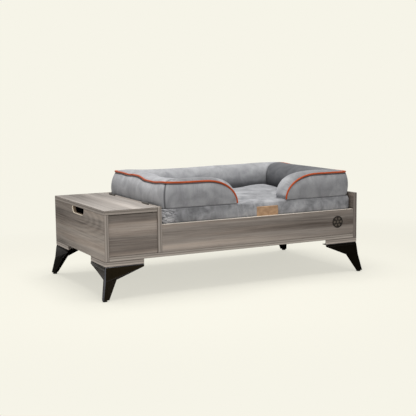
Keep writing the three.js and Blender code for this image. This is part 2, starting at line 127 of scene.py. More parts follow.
class NodeGraph:
    """The node tree of a material or a world, with short ways to fill it."""

    def __init__(self, owner: Material | World) -> None:
        """Starts with an empty tree.

        Args:
            owner: The material or the world.
        """
        owner.use_nodes = True
        self.owner = owner
        self.tree = owner.node_tree
        self.tree.nodes.clear()

    def add(self, kind: str, inputs: dict[str | int, object] | None = None, **settings: object) -> Node:
        """Adds a node.

        Args:
            kind: Its type, without the ShaderNode prefix.
            inputs: Numbers, colours or other nodes' sockets for its inputs, by name or place.
            settings: Its properties.

        Returns:
            The node.
        """
        node = self.tree.nodes.new("ShaderNode" + kind)
        for name, value in settings.items():
            setattr(node, name, value)
        for socket, value in (inputs or {}).items():
            if isinstance(value, NodeSocket):
                self.tree.links.new(value, node.inputs[socket])
            else:
                node.inputs[socket].default_value = value
        return node

    def coordinates(self, scale: float | Sequence[float], offset: Sequence[float] = (0, 0, 0),
                    uv: str | None = None) -> NodeSocket:
        """Object coordinates, or a UV map's, stretched for a pattern.

        Args:
            scale: Repeats per metre, the same on every axis or one for each.
            offset: Shift of the pattern, in its own units.
            uv: Name of a UV map, or None for Object coordinates.

        Returns:
            The mapped coordinates.
        """
        if uv is None:
            source = self.add("TexCoord").outputs["Object"]
        else:
            source = self.add("UVMap", uv_map=uv).outputs[0]
        sizes = scale if isinstance(scale, Sequence) else (scale,) * 3
        return self.add("Mapping", {"Vector": source, "Scale": sizes, "Location": offset}).outputs[0]

    def measures(self, uv: str) -> tuple[NodeSocket, NodeSocket]:
        """The two measures of a UV map, in metres."""
        split = self.add("SeparateXYZ", {0: self.coordinates(1, uv=uv)})
        return split.outputs[0], split.outputs[1]

    def noise(self, scale: float | Sequence[float], detail: float = 4.0, roughness: float = 0.5,
              distortion: float = 0.0, offset: Sequence[float] = (0, 0, 0),
              uv: str | None = None) -> NodeSocket:
        """A noise pattern.

        Args:
            scale: Repeats per metre, the same on every axis or one for each.
            detail: Octaves.
            roughness: Strength of the finer octaves.
            distortion: How far it is warped.
            offset: Shift of the pattern, in its own units.
            uv: Name of a UV map, or None for Object coordinates.

        Returns:
            The pattern, about 0 to 1.
        """
        return self.add("TexNoise", {
            "Vector": self.coordinates(scale, offset, uv), "Scale": 1.0, "Detail": detail,
            "Roughness": roughness, "Distortion": distortion,
        }).outputs["Fac"]

    def cells(self, scale: float | Sequence[float]) -> NodeSocket:
        """A pattern of cells: the distance to each cell's middle."""
        inputs = {"Vector": self.coordinates(scale), "Scale": 1.0}
        return self.add("TexVoronoi", inputs, feature="F1").outputs["Distance"]

    def painted(self, name: str) -> NodeSocket:
        """A number that the piece's mesh holds on its vertices."""
        return self.add("Attribute", attribute_name=name).outputs["Fac"]

    def ramp(self, value: NodeSocket, tones: Tones, eased: bool = True) -> NodeSocket:
        """A grey that changes along a number.

        Args:
            value: The number.
            tones: Places along it, and how light the grey is there.
            eased: Eases between the places.

        Returns:
            The grey.
        """
        node = self.add("ValToRGB", {"Fac": value})
        node.color_ramp.interpolation = "EASE" if eased else "LINEAR"
        elements = node.color_ramp.elements
        while len(elements) < len(tones):
            elements.new(0.5)
        for element, (place, tone) in zip(elements, tones):
            element.position = place
            element.color = linear(*(round(255 * tone),) * 3)
        return node.outputs["Color"]

    def math(self, operation: str, *numbers: float | NodeSocket, clamp: bool = False) -> NodeSocket:
        """A sum, a product or another operation on numbers."""
        return self.add("Math", dict(enumerate(numbers)), operation=operation, use_clamp=clamp).outputs[0]

    def product(self, *numbers: float | NodeSocket, clamp: bool = False) -> NodeSocket:
        """The product of two numbers."""
        return self.math("MULTIPLY", *numbers, clamp=clamp)

    def swing(self, pattern: NodeSocket, amount: float | NodeSocket, level: NodeSocket) -> NodeSocket:
        """Adds a pattern's swing about its middle to a level."""
        return self.math("MULTIPLY_ADD", self.math("SUBTRACT", pattern, 0.5), amount, level)

    def fit(self, value: NodeSocket, low: float, high: float, to_low: float = 0.0,
            to_high: float = 1.0) -> NodeSocket:
        """Maps a range to another and clamps it there."""
        inputs = dict(enumerate((value, low, high, to_low, to_high)))
        return self.add("MapRange", inputs, clamp=True).outputs[0]

    def mix(self, factor: object, first: object, second: object, blend: str = "MIX") -> NodeSocket:
        """Mixes two colours."""
        inputs = {0: factor, 6: first, 7: second}
        return self.add("Mix", inputs, data_type="RGBA", blend_type=blend).outputs[2]

    def bump(self, height: NodeSocket, strength: float, distance: float,
             onto: NodeSocket | None = None) -> NodeSocket:
        """A bump from a height pattern, on top of another one where one is given."""
        inputs = {"Height": height, "Strength": strength, "Distance": distance}
        return self.add("Bump", inputs if onto is None else inputs | {"Normal": onto}).outputs[0]

    def shader(self, kind: str, **inputs: object) -> NodeSocket:
        """Adds a shader with these inputs, named with underscores for spaces."""
        return self.add(kind, {name.replace("_", " "): value for name, value in inputs.items()}).outputs[0]

    def blend(self, share: NodeSocket, first: NodeSocket, second: NodeSocket) -> NodeSocket:
        """Mixes two shaders."""
        return self.add("MixShader", {0: share, 1: first, 2: second}).outputs[0]

    def seen(self) -> NodeSocket:
        """1 where the camera looks, also through glass, and 0 where light only bounces."""
        path = self.add("LightPath")
        return self.math("MAXIMUM", path.outputs["Is Camera Ray"], path.outputs["Is Transmission Ray"])

    def show(self, shader: NodeSocket) -> None:
        """Puts a shader on the tree's output."""
        self.add("OutputWorld" if isinstance(self.owner, World) else "OutputMaterial", {"Surface": shader})

    def surface(self, **inputs: object) -> Material:
        """Ends the tree in a Principled shader with these inputs, and returns the material."""
        self.show(self.shader("BsdfPrincipled", **inputs))
        return self.owner


# ---------------------------------------------------------------- finishes


@dataclass(frozen=True)
class OakLaminate:
    """Grey-brown oak laminate. It reads the piece's grain map: along the grain, then across it, in metres."""

    name: str
    shift: tuple[float, float] = (0.0, 0.0)
    """Where on the decor paper the piece is cut, in metres along and across the grain."""
    width: float = 0.18
    """Width across the grain that the streaks are laid out on."""
    streaks: Tones = ((0.0, 0.5), (1.0, 0.5))
    """The streaks at the start of the grain."""
    far: Tones | None = None
    """The streaks at its end, where they differ there."""
    turn: tuple[float, float] = (0.1, 0.5)
    """Where along the grain the first streaks begin to give way, and where the others have taken over."""
    cathedral: tuple[float, float, float] | None = None
    """Where an arched figure is centred along and across the grain, and how far across it reaches."""
    arch: tuple[float, float, float] = (4.2, 400.0, 0.14)
    """How long its arches are for their width, how closely they lie, and how strongly they show."""
    drift: float = 0.03
    """How far the streaks wander across the grain."""
    warmth: float = 0.42
    """How strongly warmer stretches show."""
    dark: Colour = (70, 61, 54)
    light: Colour = (190, 181, 172)

    def material(self) -> Material:
        """Builds the laminate.

        Returns:
            The material.
        """
        graph = NodeGraph(bpy.data.materials.new(self.name))
        along, off = graph.measures("grain")
        sway = self._pattern(graph, (1.5, 9), 0.3, 3.0, 0.5)
        broad = self._pattern(graph, (0.9, 24), 1.7, 4.0, 0.6)
        plank = self._pattern(graph, (2.2, 105), 6.1, 4.0, 0.62)
        fibre = self._pattern(graph, (7, 460), 4.1, 5.0, 0.65)
        flecks = self._pattern(graph, (26, 760), 9.3, 2.0, 0.5)
        across = graph.math("DIVIDE", graph.swing(sway, self.drift, off), self.width)
        level = self._streaked(graph, across, self.streaks)
        if self.far is not None:
            change = graph.math("SUBTRACT", self._streaked(graph, across, self.far), level)
            level = graph.math("MULTIPLY_ADD", change, graph.fit(along, *self.turn), level)
        for pattern, amount in ((broad, 0.65), (plank, 0.75), (fibre, 0.58)):
            level = graph.swing(pattern, amount, level)
        if self.cathedral is not None:
            level = graph.swing(*self._arches(graph, along, off, sway), level)
        colour = graph.mix(graph.product(level, 1.0, clamp=True), linear(*self.dark), linear(*self.light))
        warm = graph.fit(self._pattern(graph, (1.3, 30), 12.0, 3.0, 0.5), 0.42, 0.72, 0.0, self.warmth)
        colour = graph.mix(warm, colour, linear(226, 202, 182), "MULTIPLY")
        colour = graph.mix(graph.fit(flecks, 0.24, 0.40, 0.34, 0.0), colour, linear(66, 55, 47))
        normal = graph.bump(fibre, 0.2, 0.0006)
        normal = graph.bump(flecks, 0.25, 0.0003, normal)
        roughness = graph.fit(fibre, 0.3, 0.7, 0.50, 0.36)
        return graph.surface(Base_Color=colour, Roughness=roughness, Normal=normal, Specular_IOR_Level=0.5)

    def _streaked(self, graph: NodeGraph, across: NodeSocket, streaks: Tones) -> NodeSocket:
        """How light a set of streaks is at a place across the width."""
        return graph.math("POWER", graph.ramp(across, streaks), 1 / GAMMA)

    def _pattern(self, graph: NodeGraph, scale: tuple[float, float], depth: float, detail: float,
                 roughness: float) -> NodeSocket:
        """A noise stretched along the grain, cut from the decor at the piece's place."""
        offset = (self.shift[0] * scale[0], self.shift[1] * scale[1], depth)
        return graph.noise((*scale, 1), detail, roughness, offset=offset, uv="grain")

    def _arches(self, graph: NodeGraph, along: NodeSocket, off: NodeSocket,
                sway: NodeSocket) -> tuple[NodeSocket, NodeSocket]:
        """An arched figure that closes toward the start of the grain.

        Args:
            graph: The laminate's graph.
            along: The place along the grain.
            off: The place across it.
            sway: The pattern that its lines wander with.

        Returns:
            The arches, and how strongly they show.
        """
        start, middle, reach = self.cathedral
        long, close, strong = self.arch
        near = graph.math("DIVIDE", graph.math("SUBTRACT", along, start), long)
        aside = graph.math("SUBTRACT", off, middle)
        square = graph.math("ADD", graph.product(near, near), graph.product(aside, aside))
        distance = graph.math("MULTIPLY_ADD", sway, 0.022, graph.math("SQRT", square))
        arches = graph.math("MULTIPLY_ADD", graph.math("SINE", graph.product(distance, close)), 0.5, 0.5)
        shown = graph.product(graph.fit(distance, 0.5 * reach, reach, 1.0, 0.0),
                              graph.fit(distance, 0.022, 0.045, 0.0, strong))
        return arches, graph.product(shown, graph.fit(near, 0.0, 0.03, 1.0, 0.0))


@dataclass(frozen=True)
class EdgeBand:
    """The paper band on a board's edges: paler, darker toward both borders as painted shade in the joints
    beside it, and with a darker line along its middle.
    """

    name: str
    light: Colour = (178, 169, 160)
    dark: Colour = (68, 59, 52)
    thick: float = 0.018
    tones: Tones = ((0.0, 205 / 255), (0.36, 226 / 255), (0.5, 120 / 255), (0.62, 96 / 255),
                    (0.74, 176 / 255), (1.0, 206 / 255))
    """How light the band is across its width, darkest along its middle."""

    def material(self) -> Material:
        """Builds the band.

        Returns:
            The material.
        """
        graph = NodeGraph(bpy.data.materials.new(self.name))
        across = graph.math("DIVIDE", graph.measures("grain")[1], self.thick)
        sway = graph.noise((7, 40, 1), 2.0, offset=(0, 0, 2.2), uv="grain")
        tone = graph.ramp(graph.swing(sway, 0.35, across), self.tones, eased=False)
        # Painted shade: the band darkens toward both of its borders, for the shadow lines in the joints
        # between boards.
        rim = graph.product(graph.fit(across, 0.02, 0.11), graph.fit(across, 0.89, 0.98, 1.0, 0.0))
        fibre = graph.noise((9, 620, 1), 4.0, 0.6, offset=(0, 0, 5.0), uv="grain")
        level = graph.swing(fibre, 0.6, graph.math("POWER", tone, 1 / GAMMA))
        level = graph.product(level, graph.fit(rim, 0.0, 1.0, 0.25, 1.0), clamp=True)
        colour = graph.mix(level, linear(*self.dark), linear(*self.light))
        return graph.surface(Base_Color=colour, Roughness=0.48, Normal=graph.bump(fibre, 0.15, 0.0004))


@dataclass(frozen=True)
class RawBoard:
    """Pale chipboard where a board is cut through and left bare."""

    name: str = "raw_board"
    pale: Colour = (250, 242, 226)
    deep: Colour = (222, 206, 182)

    def material(self) -> Material:
        """Builds the chips.

        Returns:
            The material.
        """
        graph = NodeGraph(bpy.data.materials.new(self.name))
        chips = graph.cells((520, 520, 900))
        speck = graph.noise(900, 3.0)
        colour = graph.mix(chips, linear(*self.pale), linear(*self.deep))
        colour = graph.mix(graph.fit(speck, 0.3, 0.42, 0.4, 0.0), colour, linear(176, 152, 124))
        return graph.surface(Base_Color=colour, Roughness=0.85, Normal=graph.bump(speck, 0.3, 0.0004))


@dataclass(frozen=True)
class PowderCoat:
    """Satin black powder coat with a fine orange peel."""

    name: str = "powder_coat_black"
    dark: Colour = (9, 8, 4)
    light: Colour = (30, 25, 15)
    shine: float = 0.22
    tint: Colour = (255, 226, 178)

    def material(self) -> Material:
        """Builds the coat.

        Returns:
            The material.
        """
        graph = NodeGraph(bpy.data.materials.new(self.name))
        peel = graph.noise(900, 2.0)
        dust = graph.noise(35, 4.0)
        colour = graph.mix(dust, linear(*self.dark), linear(*self.light))
        return graph.surface(Base_Color=colour, Roughness=graph.fit(dust, 0.3, 0.7, 0.20, 0.28),
                             Specular_IOR_Level=self.shine, Specular_Tint=linear(*self.tint),
                             Normal=graph.bump(peel, 0.25, 0.0002), Metallic=0.0)


@dataclass(frozen=True)
class MouldedPlastic:
    """Matt black moulded plastic."""

    name: str = "glide_plastic"

    def material(self) -> Material:
        """Builds the plastic.

        Returns:
            The material.
        """
        graph = NodeGraph(bpy.data.materials.new(self.name))
        grain = graph.noise(1500, 2.0)
        scuff = graph.noise((140, 140, 30), 4.0)
        colour = graph.mix(graph.fit(scuff, 0.5, 0.8), linear(20, 20, 20), linear(44, 43, 41))
        return graph.surface(Base_Color=colour, Roughness=0.6, Normal=graph.bump(grain, 0.2, 0.0001))


@dataclass(frozen=True)
class PlatedSteel:
    """Dull plated steel of the hinges and screws."""

    name: str = "plated_steel"
    dark: Colour = (92, 90, 86)
    light: Colour = (150, 147, 141)

    def material(self) -> Material:
        """Builds the plating.

        Returns:
            The material.
        """
        graph = NodeGraph(bpy.data.materials.new(self.name))
        brushed = graph.noise((1800, 60, 1800), 3.0)
        stain = graph.noise(60, 4.0)
        colour = graph.mix(stain, linear(*self.dark), linear(*self.light))
        return graph.surface(Base_Color=colour, Metallic=0.9, Roughness=graph.fit(stain, 0.3, 0.7, 0.32, 0.5),
                             Normal=graph.bump(brushed, 0.15, 0.0001))


@dataclass(frozen=True)
class Beech:
    """Plain beech of the dowels."""

    name: str = "beech"

    def material(self) -> Material:
        """Builds the wood.

        Returns:
            The material.
        """
        graph = NodeGraph(bpy.data.materials.new(self.name))
        grain = graph.noise((40, 900, 900), 4.0)
        colour = graph.mix(grain, linear(186, 148, 104), linear(214, 182, 138))
        return graph.surface(Base_Color=colour, Roughness=0.7, Normal=graph.bump(grain, 0.2, 0.0002))


@dataclass(frozen=True)
class Velvet:
    """Short grey velvet: a nap brushed in soft patches, over a fine pile, with painted light and shade read
    from the mesh: painted shade along seams (with the seams' own darker line), grooves and contacts, and
    painted highlights on crushed pile.
    """

    name: str = "velvet_grey"
    dark: Colour = (139, 140, 143)
    light: Colour = (172, 173, 176)
    patch: float = 17.0
    """Patches of brushed nap to the metre."""
    gathered: bool = False
    """Whether the piece is mapped from its piped seam, and gathered there."""
    sheen: float = 0.35

    def material(self) -> Material:
        """Builds the fabric.

        Returns:
            The material.
        """
        graph = NodeGraph(bpy.data.materials.new(self.name))
        patches = graph.noise(self.patch, 4.0, 0.55, 0.6)
        strokes = graph.noise((110, 110, 14), 3.0, 0.6)
        pile = graph.noise(2600, 2.0)
        nap = graph.swing(strokes, 0.5, graph.fit(patches, 0.3, 0.7))
        colour = graph.mix(graph.product(nap, 1.0, clamp=True), linear(*self.dark), linear(*self.light))
        colour = graph.mix(graph.fit(pile, 0.3, 0.5, 0.22, 0.0), colour, linear(78, 79, 82))
        # Painted light and shade: the nap numbers lighten or darken the colour by up to 40 percent, by where
        # the light falls and where the fabric lies in shade.
        brushed = graph.math("MULTIPLY_ADD", graph.painted("nap"), 0.4, 1.0)
        colour = graph.mix(1.0, colour, brushed, "MULTIPLY")
        # Painted highlights near white on the crests of crushed pile, painted shade in its troughs, and
        # painted shade near black where the seam numbers are high.
        crush, ridges = graph.painted("crush"), self._ridges(graph)
        painted_highlight = graph.product(crush, graph.fit(ridges, 0.60, 0.92, 0.0, 0.70))
        deep = graph.product(crush, graph.fit(ridges, 0.15, 0.40, 0.5, 0.0))
        sewn = graph.fit(graph.painted("seam"), 0.15, 1.0, 0.0, 0.85)
        for share, shade in ((painted_highlight, (226, 226, 229)), (deep, (96, 97, 100)), (sewn, (52, 52, 55))):
            colour = graph.mix(share, colour, linear(*shade))
        normal = graph.bump(patches, 0.25, 0.0025)
        normal = graph.bump(strokes, 0.2, 0.0008, normal)
        normal = graph.bump(graph.product(ridges, crush), 0.8, 0.0035, normal)
        if self.gathered:
            off = graph.measures("sewn")[1]
            folds, shown = self._gathers(graph, off)
            # Painted shadow in a narrow band just under the piping cord, and painted shade in the troughs of
            # the gathers.
            painted_shadow = graph.product(graph.fit(off, -0.0095, -0.0070), graph.fit(off, -0.004, -0.002, 1.0, 0.0))
            painted_fold_shade = graph.product(graph.fit(folds, 0.48, 0.36), shown)
            normal = graph.bump(graph.product(folds, shown), 0.9, 0.0050, normal)
            colour = graph.mix(graph.product(painted_fold_shade, 0.55), colour, linear(84, 85, 88))
            colour = graph.mix(graph.product(painted_shadow, 0.8), colour, linear(38, 38, 40))
        normal = graph.bump(pile, 0.3, 0.0003, normal)
        return graph.surface(Base_Color=colour, Roughness=0.88, Normal=normal, Sheen_Weight=self.sheen,
                             Sheen_Roughness=0.40, Sheen_Tint=linear(226, 228, 234), Specular_IOR_Level=0.15)

    def _ridges(self, graph: NodeGraph) -> NodeSocket:
        """Sharp-crested crinkles, as where the pile is crushed."""
        off = graph.math("SUBTRACT", graph.noise((26, 26, 85), 3.0, 0.62, 1.5), 0.5)
        return graph.math("SUBTRACT", 1.0, graph.math("ABSOLUTE", graph.product(off, 5.0)), clamp=True)

    def _gathers(self, graph: NodeGraph, off: NodeSocket) -> tuple[NodeSocket, NodeSocket]:
        """Short folds that run away from the piped seam.

        Args:
            graph: The velvet's graph.
            off: The distance from the seam, less than 0 below it.

        Returns:
            The folds, and how strongly they show.
        """
        folds = graph.noise((120, 6, 1), 2.0, 0.5, uv="sewn")
        patchy = graph.fit(graph.noise((5, 2, 1), 1.0, offset=(0, 0, 3.3), uv="sewn"), 0.35, 0.6, 0.4, 1.0)
        near = graph.fit(graph.math("ABSOLUTE", off), 0.006, 0.060, 1.0, 0.0)
        return folds, graph.product(graph.product(near, patchy), graph.painted("gather"))


@dataclass(frozen=True)
class PipingCord:
    """Woven orange-red piping: ribs round the cord, read from its own map."""

    name: str = "piping_orange"

    def material(self) -> Material:
        """Builds the piping's cloth.

        Returns:
            The material.
        """
        graph = NodeGraph(bpy.data.materials.new(self.name))
        ribs = graph.add("TexWave", {
            "Vector": graph.coordinates((120, 6, 1), uv="length"), "Scale": 3.0, "Distortion": 1.2,
        }, wave_type="BANDS", bands_direction="X").outputs["Fac"]
        fade = graph.noise(24, 3.0)
        colour = graph.mix(fade, linear(168, 64, 16), linear(200, 89, 30))
        colour = graph.mix(graph.fit(ribs, 0.0, 0.5, 0.35, 0.0), colour, linear(84, 29, 13))
        return graph.surface(Base_Color=colour, Roughness=0.75, Sheen_Weight=0.2, Sheen_Roughness=0.4,
                             Normal=graph.bump(ribs, 0.4, 0.0004))


@dataclass(frozen=True)
class TanLeather:
    """Tan leather with a pebbled grain and darker patches."""

    name: str = "leather_tan"
    base: Colour = (187, 153, 120)
    worn: Colour = (152, 120, 90)

    def material(self) -> Material:
        """Builds the leather.

        Returns:
            The material.
        """
        graph = NodeGraph(bpy.data.materials.new(self.name))
        cells = graph.cells(620)
        tone = graph.noise(55, 5.0, 0.6)
        colour = graph.mix(graph.fit(tone, 0.35, 0.7), linear(*self.base), linear(*self.worn))
        return graph.surface(Base_Color=colour, Roughness=graph.fit(tone, 0.3, 0.7, 0.48, 0.62),
                             Normal=graph.bump(cells, 0.3, 0.0003))


@dataclass(frozen=True)
class PlainThread:
    """Sewing thread in one colour, with its twist."""

    name: str
    colour: Colour

    def material(self) -> Material:
        """Builds the thread.

        Returns:
            The material.
        """
        graph = NodeGraph(bpy.data.materials.new(self.name))
        twist = graph.noise(1200, 2.0)
        lighter = tuple(min(255, c + 22) for c in self.colour)
        colour = graph.mix(twist, linear(*self.colour), linear(*lighter))
        return graph.surface(Base_Color=colour, Roughness=0.8, Normal=graph.bump(twist, 0.3, 0.0002))


@dataclass(frozen=True)
class BronzedDisc:
    """Dark bronzed metal, turned, with a satin face."""

    name: str = "bronzed_disc"
    dark: Colour = (34, 30, 26)
    light: Colour = (60, 54, 48)

    def material(self) -> Material:
        """Builds the metal.

        Returns:
            The material.
        """
        graph = NodeGraph(bpy.data.materials.new(self.name))
        cloud = graph.noise(70, 5.0, 0.6)
        fine = graph.noise(1400, 2.0)
        colour = graph.mix(graph.fit(cloud, 0.3, 0.75), linear(*self.dark), linear(*self.light))
        return graph.surface(Base_Color=colour, Metallic=0.35, Normal=graph.bump(fine, 0.12, 0.0001),
                             Roughness=graph.fit(cloud, 0.3, 0.7, 0.5, 0.62))


# ---------------------------------------------------------------- meshes


def finished(mesh: BMesh, name: str, finishes: Sequence[Material], smooth: bool = True) -> Object:
    """Turns a bmesh into an object at the origin.

    Args:
        mesh: The bmesh, which is freed.
        name: The object's name.
        finishes: The materials, in slot order.
        smooth: Shades its faces smooth.

    Returns:
        The object.
    """
    data = bpy.data.meshes.new(name)
    for face in mesh.faces:
        face.smooth = smooth
    mesh.to_mesh(data)
    mesh.free()
    for material in finishes:
        data.materials.append(material)
    piece = bpy.data.objects.new(name, data)
    bpy.context.scene.collection.objects.link(piece)
    return piece


def settle(piece: Object, body: str, slot: str, *nodes: str) -> Object:
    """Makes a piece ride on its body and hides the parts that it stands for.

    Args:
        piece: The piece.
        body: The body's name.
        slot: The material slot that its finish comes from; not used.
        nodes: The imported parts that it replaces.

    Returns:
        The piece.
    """
    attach(piece, body)
    if nodes:
        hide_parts(*nodes)
    log.info("%s rides on %s: %d faces", piece.name, body, len(piece.data.polygons))
    return piece


def applied(piece: Object) -> None:
    """Replaces a piece's mesh by what its modifiers make of it."""
    piece.data = bpy.data.meshes.new_from_object(piece.evaluated_get(bpy.context.evaluated_depsgraph_get()))
    piece.modifiers.clear()


def merged_copy(node: Object) -> BMesh:
    """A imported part's mesh with its corners joined and its flat faces whole.

    Args:
        node: The part's object.

    Returns:
        The bmesh.
    """
    mesh = bmesh.new()
    mesh.from_mesh(node.data)
    bmesh.ops.remove_doubles(mesh, verts=mesh.verts, dist=MERGE)
    bmesh.ops.dissolve_limit(mesh, angle_limit=math.radians(0.5), verts=mesh.verts, edges=mesh.edges)
    return mesh


def rounded(mesh: BMesh, edges: Sequence[BMEdge], width: float, segments: int,
            clamp: bool = True) -> list[BMFace]:
    """Rounds some edges of a solid.

    Args:
        mesh: The solid.
        edges: The edges.
        width: Width of the rounding.
        segments: Faces across it.
        clamp: Keeps roundings from running into each other.

    Returns:
        The new faces.
    """
    return bmesh.ops.bevel(mesh, geom=edges, affect="EDGES", offset=width, segments=segments, profile=0.5,
                           material=-1, clamp_overlap=clamp)["faces"]


def closed(mesh: BMesh) -> list[BMFace]:
    """Fills a mesh's open ends and returns the new faces."""
    rim = [edge for edge in mesh.edges if edge.is_boundary]
    return bmesh.ops.holes_fill(mesh, edges=rim, sides=0)["faces"]


def eased(mesh: BMesh, width: float, least: float, angle: float = 30.0, segments: int = 2) -> None:
    """Rounds every outer edge of a solid.

    Args:
        mesh: The solid.
        width: Width of the rounding.
        least: Length of the shortest edge that is rounded.
        angle: Least turn across an edge, in degrees.
        segments: Faces across the rounding.
    """
    rounded(mesh, [
        edge for edge in mesh.edges
        if len(edge.link_faces) == 2 and edge.is_convex and edge.calc_length() > least
        and edge.calc_face_angle(0.0) > math.radians(angle)
    ], width, segments)


def spun(profile: Sequence[tuple[float, float]], steps: int) -> BMesh:
    """Spins a profile round the Z axis.

    Args:
        profile: Radius and height pairs; its ends may lie on the axis.
        steps: Faces round the turn.

    Returns:
        A closed solid with its faces outward.
    """
    mesh = bmesh.new()
    ring = [mesh.verts.new((radius, 0.0, height)) for radius, height in profile]
    edges = [mesh.edges.new(pair) for pair in zip(ring, ring[1:])]
    bmesh.ops.spin(mesh, geom=[*ring, *edges], cent=(0, 0, 0), axis=(0, 0, 1), angle=2 * math.pi, steps=steps,
                   use_merge=True)
    bmesh.ops.remove_doubles(mesh, verts=mesh.verts, dist=MERGE)
    bmesh.ops.recalc_face_normals(mesh, faces=mesh.faces)
    return mesh


# ---------------------------------------------------------------- the frame


@dataclass(frozen=True)
class Board:
    """A laminate board."""

    node: str
    """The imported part."""
    grain: Axis
    """The way that the grain runs on its faces."""
    thin: Axis
    """The way that it is thin."""
    face: OakLaminate
    band: EdgeBand
    body: str = "frame"
    """The body that it rides on."""


@dataclass
class Boards:
    """The laminate boards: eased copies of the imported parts, each with its own cut of the decor."""

    nodes: dict[str, Object]
    arris: float = 0.0009
    notched: str = "left_end_panel"
    """The board whose finger notch shows its bare core."""
    bare: float = 0.004
    """How far inside the board's outline the notch's faces lie at least."""

    def build(self, board: Board) -> Object:
        """Builds one board.

        Args:
            board: The board.

        Returns:
            Its piece.
        """
        mesh = merged_copy(self.nodes[board.node])
        eased(mesh, self.arris, 0.003)
        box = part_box(board.node)
        self.grain_map(mesh, board, box)
        finishes = [board.face.material(), board.band.material()]
        if board.node == self.notched:
            self.bare_notch(mesh, box)
            # Painted shade: the notch's walls take a darker copy of the bare core.
            finishes += [RawBoard("raw_board_painted_shade", (172, 152, 130), (146, 126, 106)).material(),
                         RawBoard("raw_board_rim").material()]
        piece = finished(mesh, board.node + "_board", finishes, smooth=False)
        return settle(piece, board.body, "oak_laminate", board.node)

    def grain_map(self, mesh: BMesh, board: Board, box: Box) -> None:
        """Lays the decor on a board: along the grain on its faces, and along each strip of edge band.

        Args:
            mesh: The board's mesh.
            board: The board.
            box: Its box.
        """
        layer = mesh.loops.layers.uv.new("grain")
        grain, thin = board.grain.value, board.thin.value
        other = ({0, 1, 2} - {grain, thin}).pop()
        for face in mesh.faces:
            facing = self.facing(face)
            banded = facing != thin
            along = other if facing == grain else grain
            across = thin if banded else other
            for loop in face.loops:
                place = loop.vert.co - box[0]
                loop[layer].uv = (place[along], place[across])
            face.material_index = 1 if banded else 0

    def bare_notch(self, mesh: BMesh, box: Box) -> None:
        """Bares the faces of a notch: its walls, in a darker copy of the core that paints the shade inside it,
        and the rim that faces outward.

        Args:
            mesh: The board's mesh.
            box: Its box.
        """
        low, high = box
        for face in mesh.faces:
            facing = self.facing(face)
            place = face.calc_center_median()
            if min(place[facing] - low[facing], high[facing] - place[facing]) > self.bare:
                face.material_index = 2
            within = min(place.y - low.y, high.y - place.y, place.z - low.z)
            if within > self.bare and -0.97 < face.normal.x < -0.25 and place.z < high.z - 0.001:
                face.material_index = 3

    def facing(self, face: BMFace) -> int:
        """The axis that a face looks along most."""
        return max(range(3), key=lambda axis: abs(face.normal[axis]))


